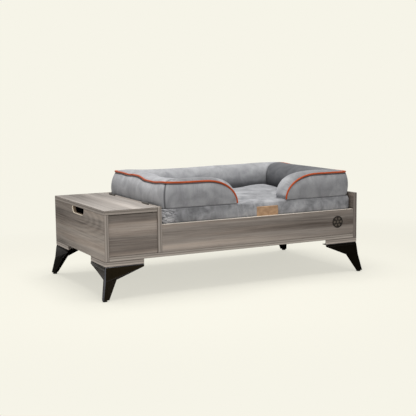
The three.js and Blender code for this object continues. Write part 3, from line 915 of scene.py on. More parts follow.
@dataclass
class LegSet:
    """The four folded legs with their screws and glides."""

    nodes: dict[str, Object]
    corners: Sequence[str] = ("front_left", "front_right", "back_right", "back_left")
    arris: float = 0.0007
    fold: float = 0.0028
    """Width of the rolled folds."""
    widening: float = 0.0060
    """How far the shank is widened toward its free edges."""
    ends: float = 0.004
    """How deep the top and the foot are, where the leg is measured."""
    small: float = 4e-4
    """The largest face of a bend, in square metres."""
    folded: tuple[float, float] = (15.0, 100.0)
    """How far the sheet turns at a fold, at least and at most, in degrees."""
    long: float = 0.02
    """Length of the shortest fold."""

    def build(self) -> list[Object]:
        """Builds every corner.

        Returns:
            Its pieces.
        """
        white = (255, 255, 255)
        # The second coat of each pair is lighter: a painted highlight on the folds.
        front_left_coats = [PowderCoat().material(),
                   PowderCoat("powder_coat_painted_highlight", (66, 67, 72), (90, 91, 97), 0.6, white).material()]
        # Painted shade: the other three legs take darker copies of both coats, with less shine and a fainter
        # fold, as they stand deeper in shade.
        painted_shade_coats = [PowderCoat("powder_coat_painted_shade", (3, 3, 2), (15, 13, 9), 0.06).material(),
                 PowderCoat("powder_coat_painted_shade_fold", (22, 22, 24), (34, 34, 37), 0.35, white).material()]
        plastic = MouldedPlastic().material()
        plated = PlatedSteel("plated_leg_screws").material()
        made = []
        for corner in self.corners:
            mesh = merged_copy(self.nodes["leg_" + corner])
            self.fill_out(mesh)
            self.round_folds(mesh)
            eased(mesh, self.arris, 0.004, angle=60)
            leg = finished(mesh, "folded_leg_" + corner, front_left_coats if corner == "front_left" else painted_shade_coats)
            made.append(settle(leg, "frame", "leg_steel", "leg_" + corner))
            made.append(self.glide(corner, plastic))
            for place in ("front", "corner", "side"):
                made.append(Screw(f"leg_screw_{corner}_{place}", Axis.Z, -1.0).build(plated))
        return made

    def heights(self, mesh: BMesh) -> tuple[float, float]:
        """The leg's lowest and highest point."""
        levels = [vertex.co.z for vertex in mesh.verts]
        return min(levels), max(levels)

    def outward(self, mesh: BMesh) -> tuple[float, float]:
        """The ways along X and Y that the leg's corner points."""
        centre = sum((vertex.co for vertex in mesh.verts), Vector()) / len(mesh.verts)
        return math.copysign(1.0, centre.x), math.copysign(1.0, centre.y)

    def fill_out(self, mesh: BMesh) -> None:
        """Widens a leg's shank a little toward its free edges, as pressed.

        Args:
            mesh: The leg.
        """
        low, high = self.heights(mesh)
        for axis, way in enumerate(self.outward(mesh)):
            top = max(v.co[axis] * way for v in mesh.verts if v.co.z > high - self.ends)
            foot = max(v.co[axis] * way for v in mesh.verts if v.co.z < low + self.ends)
            for vertex in mesh.verts:
                down = (high - vertex.co.z) / (high - low)
                inward = top + (foot - top) * down - vertex.co[axis] * way
                grown = self.widening * smoothstep(0.0, 0.45, down) * smoothstep(0.020, 0.034, inward)
                vertex.co[axis] -= way * grown

    def round_folds(self, mesh: BMesh) -> None:
        """Rolls the outer side of a leg's folds, and gives the folds and bends a lighter coat: a painted
        highlight.

        Args:
            mesh: The leg.
        """
        least, most = (math.radians(angle) for angle in self.folded)
        rolled = rounded(mesh, [
            edge for edge in mesh.edges
            if len(edge.link_faces) == 2 and edge.is_convex and edge.calc_length() > self.long
            and least < edge.calc_face_angle(0.0) < most
            and all(face.calc_area() > self.small for face in edge.link_faces)
        ], self.fold, 4)
        mesh.normal_update()
        high = self.heights(mesh)[1]
        corner = Vector((*self.outward(mesh), 0.0)).normalized()
        for face in mesh.faces:
            flange = (0.15 < face.normal.z < 0.98 and abs(face.normal.y) > abs(face.normal.x)
                      and face.calc_center_median().z > high - self.ends)
            bend = face.normal.dot(corner) > 0.90 and face.calc_area() < self.small
            if flange or bend:
                rolled.append(face)
        # Painted highlight: the rolled folds, the flange's top bends and the corner bend take the lighter
        # second coat.
        for face in rolled:
            face.material_index = 1

    def glide(self, corner: str, plastic: Material) -> Object:
        """Builds a leg's glide: a stem, a flange with a rounded rim and a slightly domed sole.

        Args:
            corner: The corner's name.
            plastic: Its finish.

        Returns:
            The glide.
        """
        low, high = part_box("glide_" + corner)
        middle = (low + high) / 2
        radius, tall = (high.x - low.x) / 2, high.z - low.z
        vertices = [v.co for v in self.nodes["glide_" + corner].data.vertices]
        top = max(math.hypot(v.x - middle.x, v.y - middle.y) for v in vertices if v.z > high.z - 1e-5)
        rim = max(v.z for v in vertices if math.hypot(v.x - middle.x, v.y - middle.y) > 0.9 * radius) - low.z
        profile = [(0.0, 0.0), (0.72 * radius, 0.0), (0.9 * radius, 0.0004), (radius, 0.0016),
                   (radius, rim - 0.0008), (radius - 0.0008, rim), (top, rim), (top, tall - 0.0006),
                   (top - 0.0006, tall), (0.0, tall)]
        mesh = spun(profile, 36)
        bmesh.ops.translate(mesh, verts=mesh.verts, vec=(middle.x, middle.y, low.z))
        piece = finished(mesh, "glide_foot_" + corner, [plastic], smooth=False)
        return settle(piece, "frame", "glide_plastic", "glide_" + corner)


@dataclass
class Screw:
    """A cross-recessed screw in the place of a packed one."""

    node: str
    axis: Axis
    """The axis that it lies on."""
    way: float
    """1 where its head is at the axis's high end, -1 where it is at its low end."""
    body: str = "frame"
    shank: float = 0.5
    """Radius of its shank, in radii of its head."""
    crown: float = 0.45
    """Height of its head, in radii, unless the screw is short."""
    recess: tuple[float, float, float] = (1.15, 0.24, 1.1)
    """Length and width of the recess's arms, in radii, and its depth, in heights of the head."""

    def build(self, finish: Material) -> Object:
        """Builds the screw.

        Args:
            finish: Its finish.

        Returns:
            The screw.
        """
        low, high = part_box(self.node)
        across = (self.axis.value + 1) % 3
        radius = (high[across] - low[across]) / 2
        length = high[self.axis.value] - low[self.axis.value]
        shank = self.shank * radius
        crown = min(self.crown * radius, 0.3 * length)
        mesh = spun([
            (0.0, 0.0), (0.6 * shank, 0.0), (shank, 0.0008), (shank, length - crown),
            (radius, length - crown), (radius, length - 0.6 * crown), (0.84 * radius, length - 0.18 * crown),
            (0.55 * radius, length), (0.0, length),
        ], 24)
        arms = bmesh.new()
        long, wide, deep = self.recess
        for turn in (0.0, math.pi / 2):
            bmesh.ops.create_cube(arms, size=1.0, matrix=(
                Matrix.Translation((0, 0, length)) @ Matrix.Rotation(turn, 4, "Z")
                @ Matrix.Diagonal((long * radius, wide * radius, deep * crown, 1.0))
            ))
        tool = finished(arms, self.node + "_recess", [])
        piece = finished(mesh, self.node + "_cross", [finish], smooth=False)
        cutter = piece.modifiers.new("recess", "BOOLEAN")
        cutter.object = tool
        cutter.operation = "DIFFERENCE"
        cutter.use_self = True
        cutter.solver = "EXACT"
        applied(piece)
        bpy.data.objects.remove(tool)
        start = (low + high) / 2
        start[self.axis.value] = (low if self.way > 0 else high)[self.axis.value]
        piece.data.transform(Matrix.Translation(start) @ self._turn())
        return settle(piece, self.body, "fittings", self.node)

    def _turn(self) -> Matrix:
        """The turn from upright to the way that the screw points.

        Returns:
            The turn.
        """
        if self.axis is Axis.X:
            return Matrix.Rotation(math.pi / 2 * self.way, 4, "Y")
        if self.axis is Axis.Y:
            return Matrix.Rotation(-math.pi / 2 * self.way, 4, "X")
        return Matrix.Rotation(math.pi if self.way < 0 else 0.0, 4, "X")


@dataclass
class Hinges:
    """Two butt hinges between the divider and the lid."""

    nodes: dict[str, Object]
    arris: float = 0.0003

    def build(self) -> list[Object]:
        """Builds both hinges.

        Returns:
            Their pieces.
        """
        plated = PlatedSteel("plated_hinges").material()
        made = []
        for place in ("front", "back"):
            for part, body in (("lid_leaf", "lid"), ("divider_leaf", "frame"), ("pin", "frame")):
                node = f"hinge_{place}_{part}"
                mesh = merged_copy(self.nodes[node])
                eased(mesh, self.arris, 0.0012, angle=35, segments=1)
                piece = finished(mesh, node + "_plated", [plated], smooth=False)
                made.append(settle(piece, body, "fittings", node))
            for part, body, way in (("lid", "lid", -1.0), ("divider", "frame", 1.0)):
                for number in (1, 2):
                    node = f"hinge_screw_{place}_{part}_{number}"
                    made.append(Screw(node, Axis.X, way, body).build(plated))
        return made


# ---------------------------------------------------------------- the mattress


@dataclass
class Inflation:
    """How a sewn shell is blown up: its fabric grows a little and pushes out, held at its seams."""

    pressure: float
    growth: float
    """How much the fabric grows, as a share of its length."""
    reach: float
    """The distance that no vertex moves beyond, in metres."""
    frames: int = 20
    tension: float = 12.0
    bending: float = 0.4

    def run(self, piece: Object, held: Sequence[float], loose: Sequence[float]) -> None:
        """Blows a shell up and leaves the result in its mesh.

        Args:
            piece: The shell, whose faces point outward.
            held: How firmly each vertex is held, 0 to 1.
            loose: How much of the growth each vertex takes, 0 to 1.
        """
        for name, weights in (("held", held), ("loose", loose)):
            group = piece.vertex_groups.new(name=name)
            for index, weight in enumerate(weights):
                if weight > 0:
                    group.add([index], weight, "REPLACE")
        cloth = piece.modifiers.new("stuffing", "CLOTH")
        settings = cloth.settings
        settings.quality = 5
        settings.mass = 0.3
        settings.tension_stiffness = self.tension
        settings.compression_stiffness = self.tension
        settings.shear_stiffness = 0.4 * self.tension
        settings.bending_stiffness = self.bending
        settings.air_damping = 1.0
        settings.use_pressure = True
        settings.uniform_pressure_force = self.pressure
        settings.vertex_group_shrink = "loose"
        settings.shrink_min = 0.0
        settings.shrink_max = -self.growth
        settings.vertex_group_mass = "held"
        settings.pin_stiffness = 1.0
        settings.effector_weights.gravity = 0.0
        cloth.collision_settings.use_collision = False
        cloth.collision_settings.use_self_collision = False
        cloth.point_cache.frame_start = 1
        cloth.point_cache.frame_end = self.frames
        scene = bpy.context.scene
        for frame in range(1, self.frames + 1):
            scene.frame_set(frame)
        shown = piece.evaluated_get(bpy.context.evaluated_depsgraph_get())
        blown = [vertex.co.copy() for vertex in shown.data.vertices]
        piece.modifiers.clear()
        piece.vertex_groups.clear()
        scene.frame_set(1)
        for vertex, end in zip(piece.data.vertices, blown):
            move = end - vertex.co
            far = move.length
            if far > MERGE:
                vertex.co += move * (self.reach * math.tanh(far / self.reach) / far)
        piece.data.update()


def subdivided(piece: Object) -> None:
    """Finishes a soft piece with one level of subdivision."""
    surface = piece.modifiers.new("surface", "SUBSURF")
    surface.levels = surface.render_levels = 1


def marked(piece: Object, numbers: dict[str, Sequence[float]]) -> None:
    """Stores numbers on a piece's vertices for its material to read."""
    for name, values in numbers.items():
        layer = piece.data.attributes.new(name, "FLOAT", "POINT")
        layer.data.foreach_set("value", values)


@dataclass
class Station:
    """One ring of the bolster: its outer and inner foot, how tall it is there, and whether it is a seam."""

    outer: Vector
    inner: Vector
    side: str
    tall: float = 1.0
    seam: bool = False


@dataclass
class Bolster:
    """The bolster: one C-shaped sewn shell with five mitred sections and a round nose at each end."""

    nose: float = 0.150
    """How far each nose reaches."""
    nose_least: float = 0.10
    """How tall its tip is, as a share of the bolster."""
    nose_bulge: float = 0.016
    """How far its flanks stand out."""
    nose_tuck: float = 0.06
    """How strongly its inner foot is drawn in."""
    nose_crown: float = 0.016
    """How far its top is domed."""
    nose_rings: int = 24
    corner: float = 0.024
    """The radius of the outer corners."""
    seam_shift: float = 0.014
    """How far the front mitred seams lie before their corners."""
    wall_rows: int = 14
    top_rows: int = 32
    floor_rows: int = 9
    curve_steps: int = 60
    """Fine steps along each curve of the section, before its rows are spread out evenly."""
    slimness: float = 0.9
    """The section's height over its width, about, for spreading its rows."""
    groove: float = 0.0055
    """How deep the seams between the sections lie."""
    end_gap: float = 0.003
    """The room to the right end panel."""
    back_gap: float = 0.002
    """The room to the back panel."""
    divider_gap: float = 0.001
    """The room to the divider, and over it and the back panel."""
    cell: float = 0.0085
    """The distance between rings."""
    passes: int = 8
    """How often leans and swells are evened out between the sides."""
    leans: dict[str, float] = field(default_factory=lambda: {
        "near_left": 0.001, "left": 0.022, "rear": 0.004, "right": 0.014, "near_right": 0.002,
    })
    """How far the piped edge lies inside the foot of the outer wall, by side."""
    swells: dict[str, float] = field(default_factory=lambda: {
        "near_left": 0.008, "left": 0.012, "rear": 0.006, "right": 0.012, "near_right": 0.008,
    })
    """How far the outer wall stands out of the line from its foot to its piping, by side."""

    def __post_init__(self) -> None:
        """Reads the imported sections' places."""
        self.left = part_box("bolster_left")
        self.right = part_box("bolster_right")
        self.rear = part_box("bolster_back")
        self.near_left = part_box("bolster_front_left")
        self.near_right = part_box("bolster_front_right")
        self.foot = self.left[0].z
        self.rise = self.near_left[1].z - self.near_left[0].z
        self.crest = self.left[1].z - self.left[0].z
        self.piping_row = self.wall_rows - 1
        self.foot_row = self.piping_row + self.top_rows
        self.around = self.foot_row + self.floor_rows

    def section(self) -> list[tuple[float, float]]:
        """The section's points: how far across from the outer wall, and how high, 0 to 1 of width and rise.

        Returns:
            The wall up to the piping, the top and inner side down to its foot, and the floor back.
        """
        points = [(0.0, step / self.piping_row) for step in range(self.wall_rows)]
        crest = self.crest / self.rise
        curves = (
            ((0.0, 1.0), (0.08, crest - 0.035), (0.20, crest - 0.005), (0.46, crest)),
            ((0.46, crest), (0.86, crest + 0.005), (1.03, 0.92), (1.03, 0.52)),
            ((1.03, 0.52), (1.03, 0.30), (1.02, 0.10), (0.97, 0.0)),
        )
        fine = []
        for curve in curves:
            for step in range(self.curve_steps):
                t = step / self.curve_steps
                u = 1 - t
                fine.append(tuple(
                    u ** 3 * a + 3 * u * u * t * b + 3 * u * t * t * c + t ** 3 * d
                    for a, b, c, d in zip(*curve)
                ))
        fine.append(curves[-1][-1])
        lengths = [0.0]
        for a, b in zip(fine, fine[1:]):
            lengths.append(lengths[-1] + math.hypot(b[0] - a[0], (b[1] - a[1]) * self.slimness))
        for step in range(1, self.top_rows + 1):
            target = lengths[-1] * step / self.top_rows
            points.append(fine[next(i for i, length in enumerate(lengths) if length >= target - 1e-9)])
        foot = points[-1][0]
        return points + [(foot * (1 - step / self.floor_rows), 0.0) for step in range(1, self.floor_rows)]

    def stations(self) -> list[Station]:
        """The rings, from the left nose round the back to the right nose.

        Returns:
            The rings.
        """
        x0, x1 = self.left[0].x, self.right[1].x
        x2, x3 = self.left[1].x, self.right[0].x
        y0, y1 = self.near_left[0].y, self.rear[1].y
        y2, y3 = self.near_left[1].y, self.rear[0].y
        outer = [Vector(p) for p in ((x0, y0, 0), (x0, y1, 0), (x1, y1, 0), (x1, y0, 0))]
        inner = [Vector(p) for p in ((x2, y2, 0), (x2, y3, 0), (x3, y3, 0), (x3, y2, 0))]
        rings = self._nose(self.near_left[1].x, -1.0, y0, y2, "near_left")
        tail = self._nose(self.near_right[0].x, 1.0, y0, y2, "near_right")[::-1]
        route = [rings[-1].outer, *outer, tail[0].outer]
        marks = [0.0]
        for a, b in zip(route, route[1:]):
            marks.append(marks[-1] + (b - a).length)
        shifts = (0.0, -self.seam_shift, 0.0, 0.0, -self.seam_shift, 0.0)
        feet = [rings[-1].inner, *inner, tail[0].inner]
        for index, side in enumerate(("near_left", "left", "rear", "right", "near_right")):
            start, end = marks[index] + shifts[index], marks[index + 1] + shifts[index + 1]
            count = max(6, round((end - start) / self.cell))
            for step in range(1, count + 1):
                t = step / count
                outer_foot = self._along(route, marks, start + (end - start) * t)
                inner_foot = feet[index].lerp(feet[index + 1], t)
                rings.append(Station(outer_foot, inner_foot, side, 1.0, step == count and index < 4))
        return rings[:-1] + tail

    def _nose(self, tip: float, way: float, y0: float, y2: float, side: str) -> list[Station]:
        """The rings of a nose.

        Args:
            tip: Where its rounding starts, along X.
            way: The way that it points along X, turned round.
            y0: Its outer foot.
            y2: Its inner foot.
            side: Its side's name.

        Returns:
            The rings, from its tip in.
        """
        least = math.asin(self.nose_least)
        rings = []
        for step in range(self.nose_rings + 1):
            phi = least + (math.pi / 2 - least) * step / self.nose_rings
            x = tip + way * self.nose * (1 - math.cos(phi))
            rings.append(Station(Vector((x, y0, 0)), Vector((x, y2, 0)), side, math.sin(phi)))
        return rings

    def _along(self, route: Sequence[Vector], marks: Sequence[float], far: float) -> Vector:
        """The place at a distance along the outer line, whose corners are rounded.

        Args:
            route: The line's corners.
            marks: The distance along the line at each.
            far: The distance.

        Returns:
            The place.
        """
        index = max(i for i in range(len(route) - 1) if marks[i] <= far + 1e-9)
        share = (far - marks[index]) / (marks[index + 1] - marks[index])
        place = route[index].lerp(route[index + 1], share)
        for turn in (index, index + 1):
            away = place - route[turn]
            if not 0 < turn < len(route) - 1 or away.length >= self.corner:
                continue
            before = (route[turn - 1] - route[turn]).normalized()
            after = (route[turn + 1] - route[turn]).normalized()
            past = 1 if away.dot(after) > away.dot(before) else -1
            angle = math.pi / 2 * (0.5 + 0.5 * away.length / self.corner * past)
            centre = route[turn] + (before + after) * self.corner
            return centre - after * (self.corner * math.cos(angle)) - before * (self.corner * math.sin(angle))
        return place

    def wave(self, x: float, y: float) -> float:
        """How far the piped edge rises or dips where the stuffing is fuller or slacker.

        Args:
            x: The place of the outer foot along X.
            y: The place of the outer foot along Y.

        Returns:
            The rise, less than 0 for a dip.
        """
        left = smoothstep(0.10, 0.0, x - self.left[0].x)
        dip = -0.007 * smoothstep(-0.275, -0.18, y) * smoothstep(0.02, -0.09, y)
        slack = 0.5 * smoothstep(0.06, 0.11, y) * smoothstep(0.2, 0.12, y)
        rise = 0.006 * smoothstep(-0.09, -0.01, y) * (1 - slack)
        back = smoothstep(0.15, 0.26, y) * (
            0.004 * smoothstep(0.30, 0.45, x) - 0.005 * smoothstep(-0.30, -0.15, x) * smoothstep(0.20, 0.0, x)
        )
        sag = smoothstep(-0.34, -0.24, x) * smoothstep(-0.06, -0.14, x)
        front = -0.003 * smoothstep(-0.16, -0.25, y) * sag
        return left * (dip + rise) + back + front

    def place(self, ring: Station, lean: float, swell: float, across: float, up: float) -> Vector:
        """Where a point of the section lies on a ring.

        Args:
            ring: The ring.
            lean: How far the piping lies inside the outer foot, in metres.
            swell: How far the outer wall stands out between them.
            across: How far across from the outer wall.
            up: How high.

        Returns:
            The point.
        """
        width = ring.inner - ring.outer
        inward = width.normalized()
        foot = ring.outer + inward * (lean * min(up, 1.0) ** 1.5 * (1 - across))
        if across == 0.0:
            foot -= inward * (swell * math.sin(math.pi * min(up, 1.0) ** 1.15) ** 0.8 * ring.tall)
        point = foot + (ring.inner - foot) * across
        if ring.tall < 1:
            round_out = self.nose_bulge * math.sin(math.pi * min(1.0, across + 0.05)) * (1 - ring.tall ** 3)
            tuck = self.nose_tuck * max(0.0, across - 0.45) ** 2 * (1 - ring.tall ** 2) * (1 - 0.6 * up)
            tipward = 1.0 if ring.side == "near_left" else -1.0
            point.x += tipward * (round_out - tuck)
        point.z = self.foot + up * self.rise * ring.tall
        if ring.tall < 1:
            dome = self.nose_crown * math.sin(math.pi * across) * min(up, 1.0)
            point.z += dome * 4 * ring.tall * (1 - ring.tall)
        point.z += self.wave(ring.outer.x, ring.outer.y) * smoothstep(0.3, 1.0, up) * (1 - 0.7 * across)
        return point

    def build(self, velvet: Material, brushed: Material) -> tuple[list[Vector], list[Vector]]:
        """Builds the shell and blows it up.

        Args:
            velvet: Its finish.
            brushed: The finish of the right section's top and inner side: a darker copy of the velvet with
                little sheen, painted shade on that side.

        Returns:
            The points of its piped seam, and the outward directions there.
        """
        rings = self.stations()
        mesh, column, row = self._shell(rings)
        self._sewn_map(mesh, column, row, rings)
        # Painted shade: the right section's top and inner side take the darker velvet.
        for face in mesh.faces:
            last = rings[max(vertex[column] for vertex in face.verts)]
            rows = [vertex[row] for vertex in face.verts]
            over = min(rows) >= self.piping_row or max(rows) - min(rows) > self.top_rows
            face.material_index = 1 if over and last.side == "right" else 0
        crushed = Vector((self.left[0].x + 0.03, self.near_left[0].y, self.foot + 1.02 * self.rise))
        held, loose = [], []
        numbers = {"seam": [], "crush": [], "nap": [], "gather": []}
        for vertex in mesh.verts:
            ring, level = rings[vertex[column]], vertex[row]
            at_seam = ring.seam and level < self.foot_row
            fixed = level in (0, self.piping_row) or level >= self.foot_row or at_seam
            above = level > self.piping_row
            held.append(1.0 if fixed else 0.0)
            loose.append(self._loose(ring, level))
            # Full seam numbers along the mitred seams: their own darker line, with painted shade in their
            # grooves; elsewhere painted shade.
            numbers["seam"].append(1.0 if at_seam else self._painted_shade(ring, level))
            numbers["crush"].append(0.6 * above * smoothstep(0.075, 0.02, (vertex.co - crushed).length))
            # Painted light and shade on the pile, by side and row.
            numbers["nap"].append(self._painted_light(ring, level))
            numbers["gather"].append(1.0 if above else 0.30 + 0.7 * (1 - ring.tall ** 2))
        piped = sorted((v for v in mesh.verts if v[row] == self.piping_row), key=lambda v: v[column])
        path = [vertex.co.copy() for vertex in piped]
        outward = [(rings[v[column]].outer - rings[v[column]].inner).normalized() for v in piped]
        mesh.normal_update()
        sunk = [(v, v.normal.copy()) for v in mesh.verts
                if rings[v[column]].seam and 0 < v[row] < self.foot_row and v[row] != self.piping_row]
        for vertex, way in sunk:
            vertex.co -= way * self.groove
        piece = finished(mesh, "bolster_shell", [velvet, brushed])
        Inflation(pressure=5.0, growth=0.05, reach=0.014).run(piece, held, loose)
        self.trim(piece)
        marked(piece, numbers)
        subdivided(piece)
        settle(piece, "mattress", "velvet", "bolster_back", "bolster_left", "bolster_right",
               "bolster_front_left", "bolster_front_right")
        return path, outward

    def _shell(self, rings: Sequence[Station]) -> tuple[BMesh, BMLayerItem, BMLayerItem]:
        """Makes the shell: a grid, rolled up into the section along the rings, with its ends closed.

        Args:
            rings: The rings.

        Returns:
            The mesh, and the layers that hold each vertex's ring and its row in the section.
        """
        section = self.section()
        leans = self._evened([self.leans[ring.side] for ring in rings])
        swells = self._evened([self.swells[ring.side] for ring in rings])
        mesh = bmesh.new()
        bmesh.ops.create_grid(mesh, x_segments=len(rings) - 1, y_segments=self.around, size=1.0)
        column = mesh.verts.layers.int.new("ring")
        row = mesh.verts.layers.int.new("row")
        for vertex in mesh.verts:
            index = round((vertex.co.x + 1) / 2 * (len(rings) - 1))
            level = round((vertex.co.y + 1) / 2 * self.around) % self.around
            vertex[column], vertex[row] = index, level
            vertex.co = self.place(rings[index], leans[index], swells[index], *section[level])
        bmesh.ops.remove_doubles(mesh, verts=mesh.verts, dist=0.1 * MERGE)
        for face in closed(mesh):
            bmesh.ops.poke(mesh, faces=[face])
        bmesh.ops.recalc_face_normals(mesh, faces=mesh.faces)
        return mesh, column, row

    def _evened(self, values: list[float]) -> list[float]:
        """Evens out a number that changes from side to side."""
        for _ in range(self.passes):
            middle = [sum(values[i - 1:i + 2]) / 3 for i in range(1, len(values) - 1)]
            values = [values[0], *middle, values[-1]]
        return values

    def _painted_shade(self, ring: Station, row: int) -> float:
        """Painted shade on the pile: in the groove behind the piping, and down toward the sleeping surface.

        Args:
            ring: The ring.
            row: The row of the section.

        Returns:
            The darkness, 0 to 1.
        """
        groove = 0.25 * max(0.0, 1 - abs(row - self.piping_row) / 3)
        if row > self.foot_row or ring.tall < 1:
            return groove
        up = self.foot_row - row
        return max(groove, 0.45 * smoothstep(13, 6, up) + 0.5 * smoothstep(7, 3, up))

    def _painted_light(self, ring: Station, row: int) -> float:
        """Painted light and shade on the pile: a painted highlight on the outer wall just under the piping,
        painted shade on the returns' fronts and on their tops behind the piping, and a lighter crest on the
        right section over its darker velvet.

        Args:
            ring: The ring.
            row: The row of the section.

        Returns:
            Down to -1 for painted shade, up to 1 for painted light.
        """
        x = ring.outer.x
        past = row - self.piping_row
        if past <= 0:
            rest = {"near_left": -0.15, "near_right": -0.35}.get(ring.side, 0.0)
            return rest + 0.75 * smoothstep(-6, -1, past) * ring.tall ** 4
        crest = smoothstep(16, 8, past)
        if ring.side == "near_left":
            tip = self.near_left[1].x
            return -smoothstep(tip - 0.065, tip - 0.105, x)
        if ring.side == "near_right":
            tip = self.near_right[0].x
            return 0.2 - (0.6 + 0.4 * crest) * smoothstep(tip + 0.03, tip + 0.06, x)
        return 0.4 * crest if ring.side == "right" else 0.0

    def _loose(self, ring: Station, row: int) -> float:
        """How much the fabric grows: most on the noses and the inner side, little on the crest.

        Args:
            ring: The ring.
            row: The row of the section.

        Returns:
            The share of the growth, 0 to 1.
        """
        past = row - self.piping_row
        return 0.8 if past <= 0 else max(0.25 + 0.75 * smoothstep(8, 18, past), 1 - ring.tall ** 2)

    def _sewn_map(self, mesh: BMesh, column: BMLayerItem, row: BMLayerItem, rings: Sequence[Station]) -> None:
        """Maps the shell: along the piping, then down from it on either side, in metres.

        Args:
            mesh: The shell.
            column: The layer that holds each vertex's ring.
            row: The layer that holds its row.
            rings: The rings.
        """
        layer = mesh.loops.layers.uv.new("sewn")
        travelled = [0.0]
        for a, b in zip(rings, rings[1:]):
            step = (b.outer - a.outer).length
            travelled.append(travelled[-1] + math.hypot(step, (b.tall - a.tall) * self.rise))
        tall = self.rise / self.piping_row
        for face in mesh.faces:
            closing = any(loop.vert[row] > self.piping_row + 4 for loop in face.loops)
            for loop in face.loops:
                level = self.around if closing and loop.vert[row] == 0 else loop.vert[row]
                loop[layer].uv = (travelled[loop.vert[column]], (level - self.piping_row) * tall)

    def trim(self, piece: Object) -> None:
        """Keeps the shell on the cushion below it and out of the boards.

        Args:
            piece: The shell.
        """
        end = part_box("right_end_panel")[0].x - self.end_gap
        divider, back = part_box("divider_panel"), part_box("back_panel")
        for vertex in piece.data.vertices:
            co = vertex.co
            co.z = max(co.z, self.foot)
            co.x = min(co.x, end)
            if co.z < divider[1].z + self.divider_gap:
                co.x = max(co.x, divider[1].x + self.divider_gap)
            if co.z < back[1].z + self.divider_gap:
                co.y = min(co.y, back[0].y - self.back_gap)


@dataclass
class Piping:
    """The cord along the bolster's piped seam."""

    radius: float = 0.0041
    sides: int = 10
    out: float = 0.35
    """How far the cord stands out of the seam, in radii."""
    up: float = 0.25
    """How far it stands above the seam, in radii."""
    tail: float = 0.011
    """How far its ends reach down beyond the seam."""
    passes: int = 3
    """How often its line is evened out."""

    def build(self, points: Sequence[Vector], outward: Sequence[Vector], finish: Material) -> Object:
        """Builds the cord.

        Args:
            points: The seam's points.
            outward: The outward direction at each.
            finish: Its finish.

        Returns:
            The cord.
        """
        centres = self._line(points, outward)
        mesh = bmesh.new()
        bmesh.ops.create_circle(mesh, cap_ends=False, segments=self.sides, radius=self.radius)
        layer = mesh.loops.layers.uv.new("length")
        ring = list(mesh.verts)
        shape = [vertex.co.copy() for vertex in ring]
        side = Vector((0, 1, 0))
        far, places = 0.0, {}
        for index, centre in enumerate(centres):
            ahead = centres[min(index + 1, len(centres) - 1)] - centres[max(index - 1, 0)]
            ahead.normalize()
            side = (side - ahead * side.dot(ahead)).normalized()
            turn = Matrix((side, ahead.cross(side), ahead)).transposed()
            if index:
                ring = self._grown(mesh, ring)
                far += (centre - centres[index - 1]).length
            for number, (vertex, corner) in enumerate(zip(ring, shape)):
                vertex.co = centre + turn @ corner
                places[vertex] = (far, number / self.sides)
        for face in mesh.faces:
            around = [places[vertex][1] for vertex in face.verts]
            closing = max(around) - min(around) > 0.5
            for loop in face.loops:
                u, v = places[loop.vert]
                loop[layer].uv = (u, v + 1 if closing and v < 0.5 else v)
        closed(mesh)
        bmesh.ops.recalc_face_normals(mesh, faces=mesh.faces)
        piece = finished(mesh, "bolster_piping", [finish])
        subdivided(piece)
        return settle(piece, "mattress", "velvet")

    def _line(self, points: Sequence[Vector], outward: Sequence[Vector]) -> list[Vector]:
        """The cord's line: off the seam, evened out, and with its ends drawn down.

        Args:
            points: The seam's points.
            outward: The outward direction at each.

        Returns:
            The line's points.
        """
        rise = Vector((0, 0, self.up * self.radius))
        line = [point + way * (self.out * self.radius) + rise for point, way in zip(points, outward)]
        for _ in range(self.passes):
            middle = [(line[i - 1] + line[i] * 2 + line[i + 1]) / 4 for i in range(1, len(line) - 1)]
            line = [line[0], *middle, line[-1]]
        drop = Vector((0, 0, self.tail))
        return [line[0] - drop, *line, line[-1] - drop]

    def _grown(self, mesh: BMesh, ring: list[BMVert]) -> list[BMVert]:
        """Extrudes the cord's end ring.

        Args:
            mesh: The cord.
            ring: The vertices of its end.

        Returns:
            The new end's vertices, in the same order.
        """
        edges = list({e for v in ring for e in v.link_edges if e.other_vert(v) in ring})
        made = bmesh.ops.extrude_edge_only(mesh, edges=edges)["geom"]
        return sorted((item for item in made if isinstance(item, BMVert)), key=lambda new: min(
            range(self.sides), key=lambda number: (new.co - ring[number].co).length_squared))


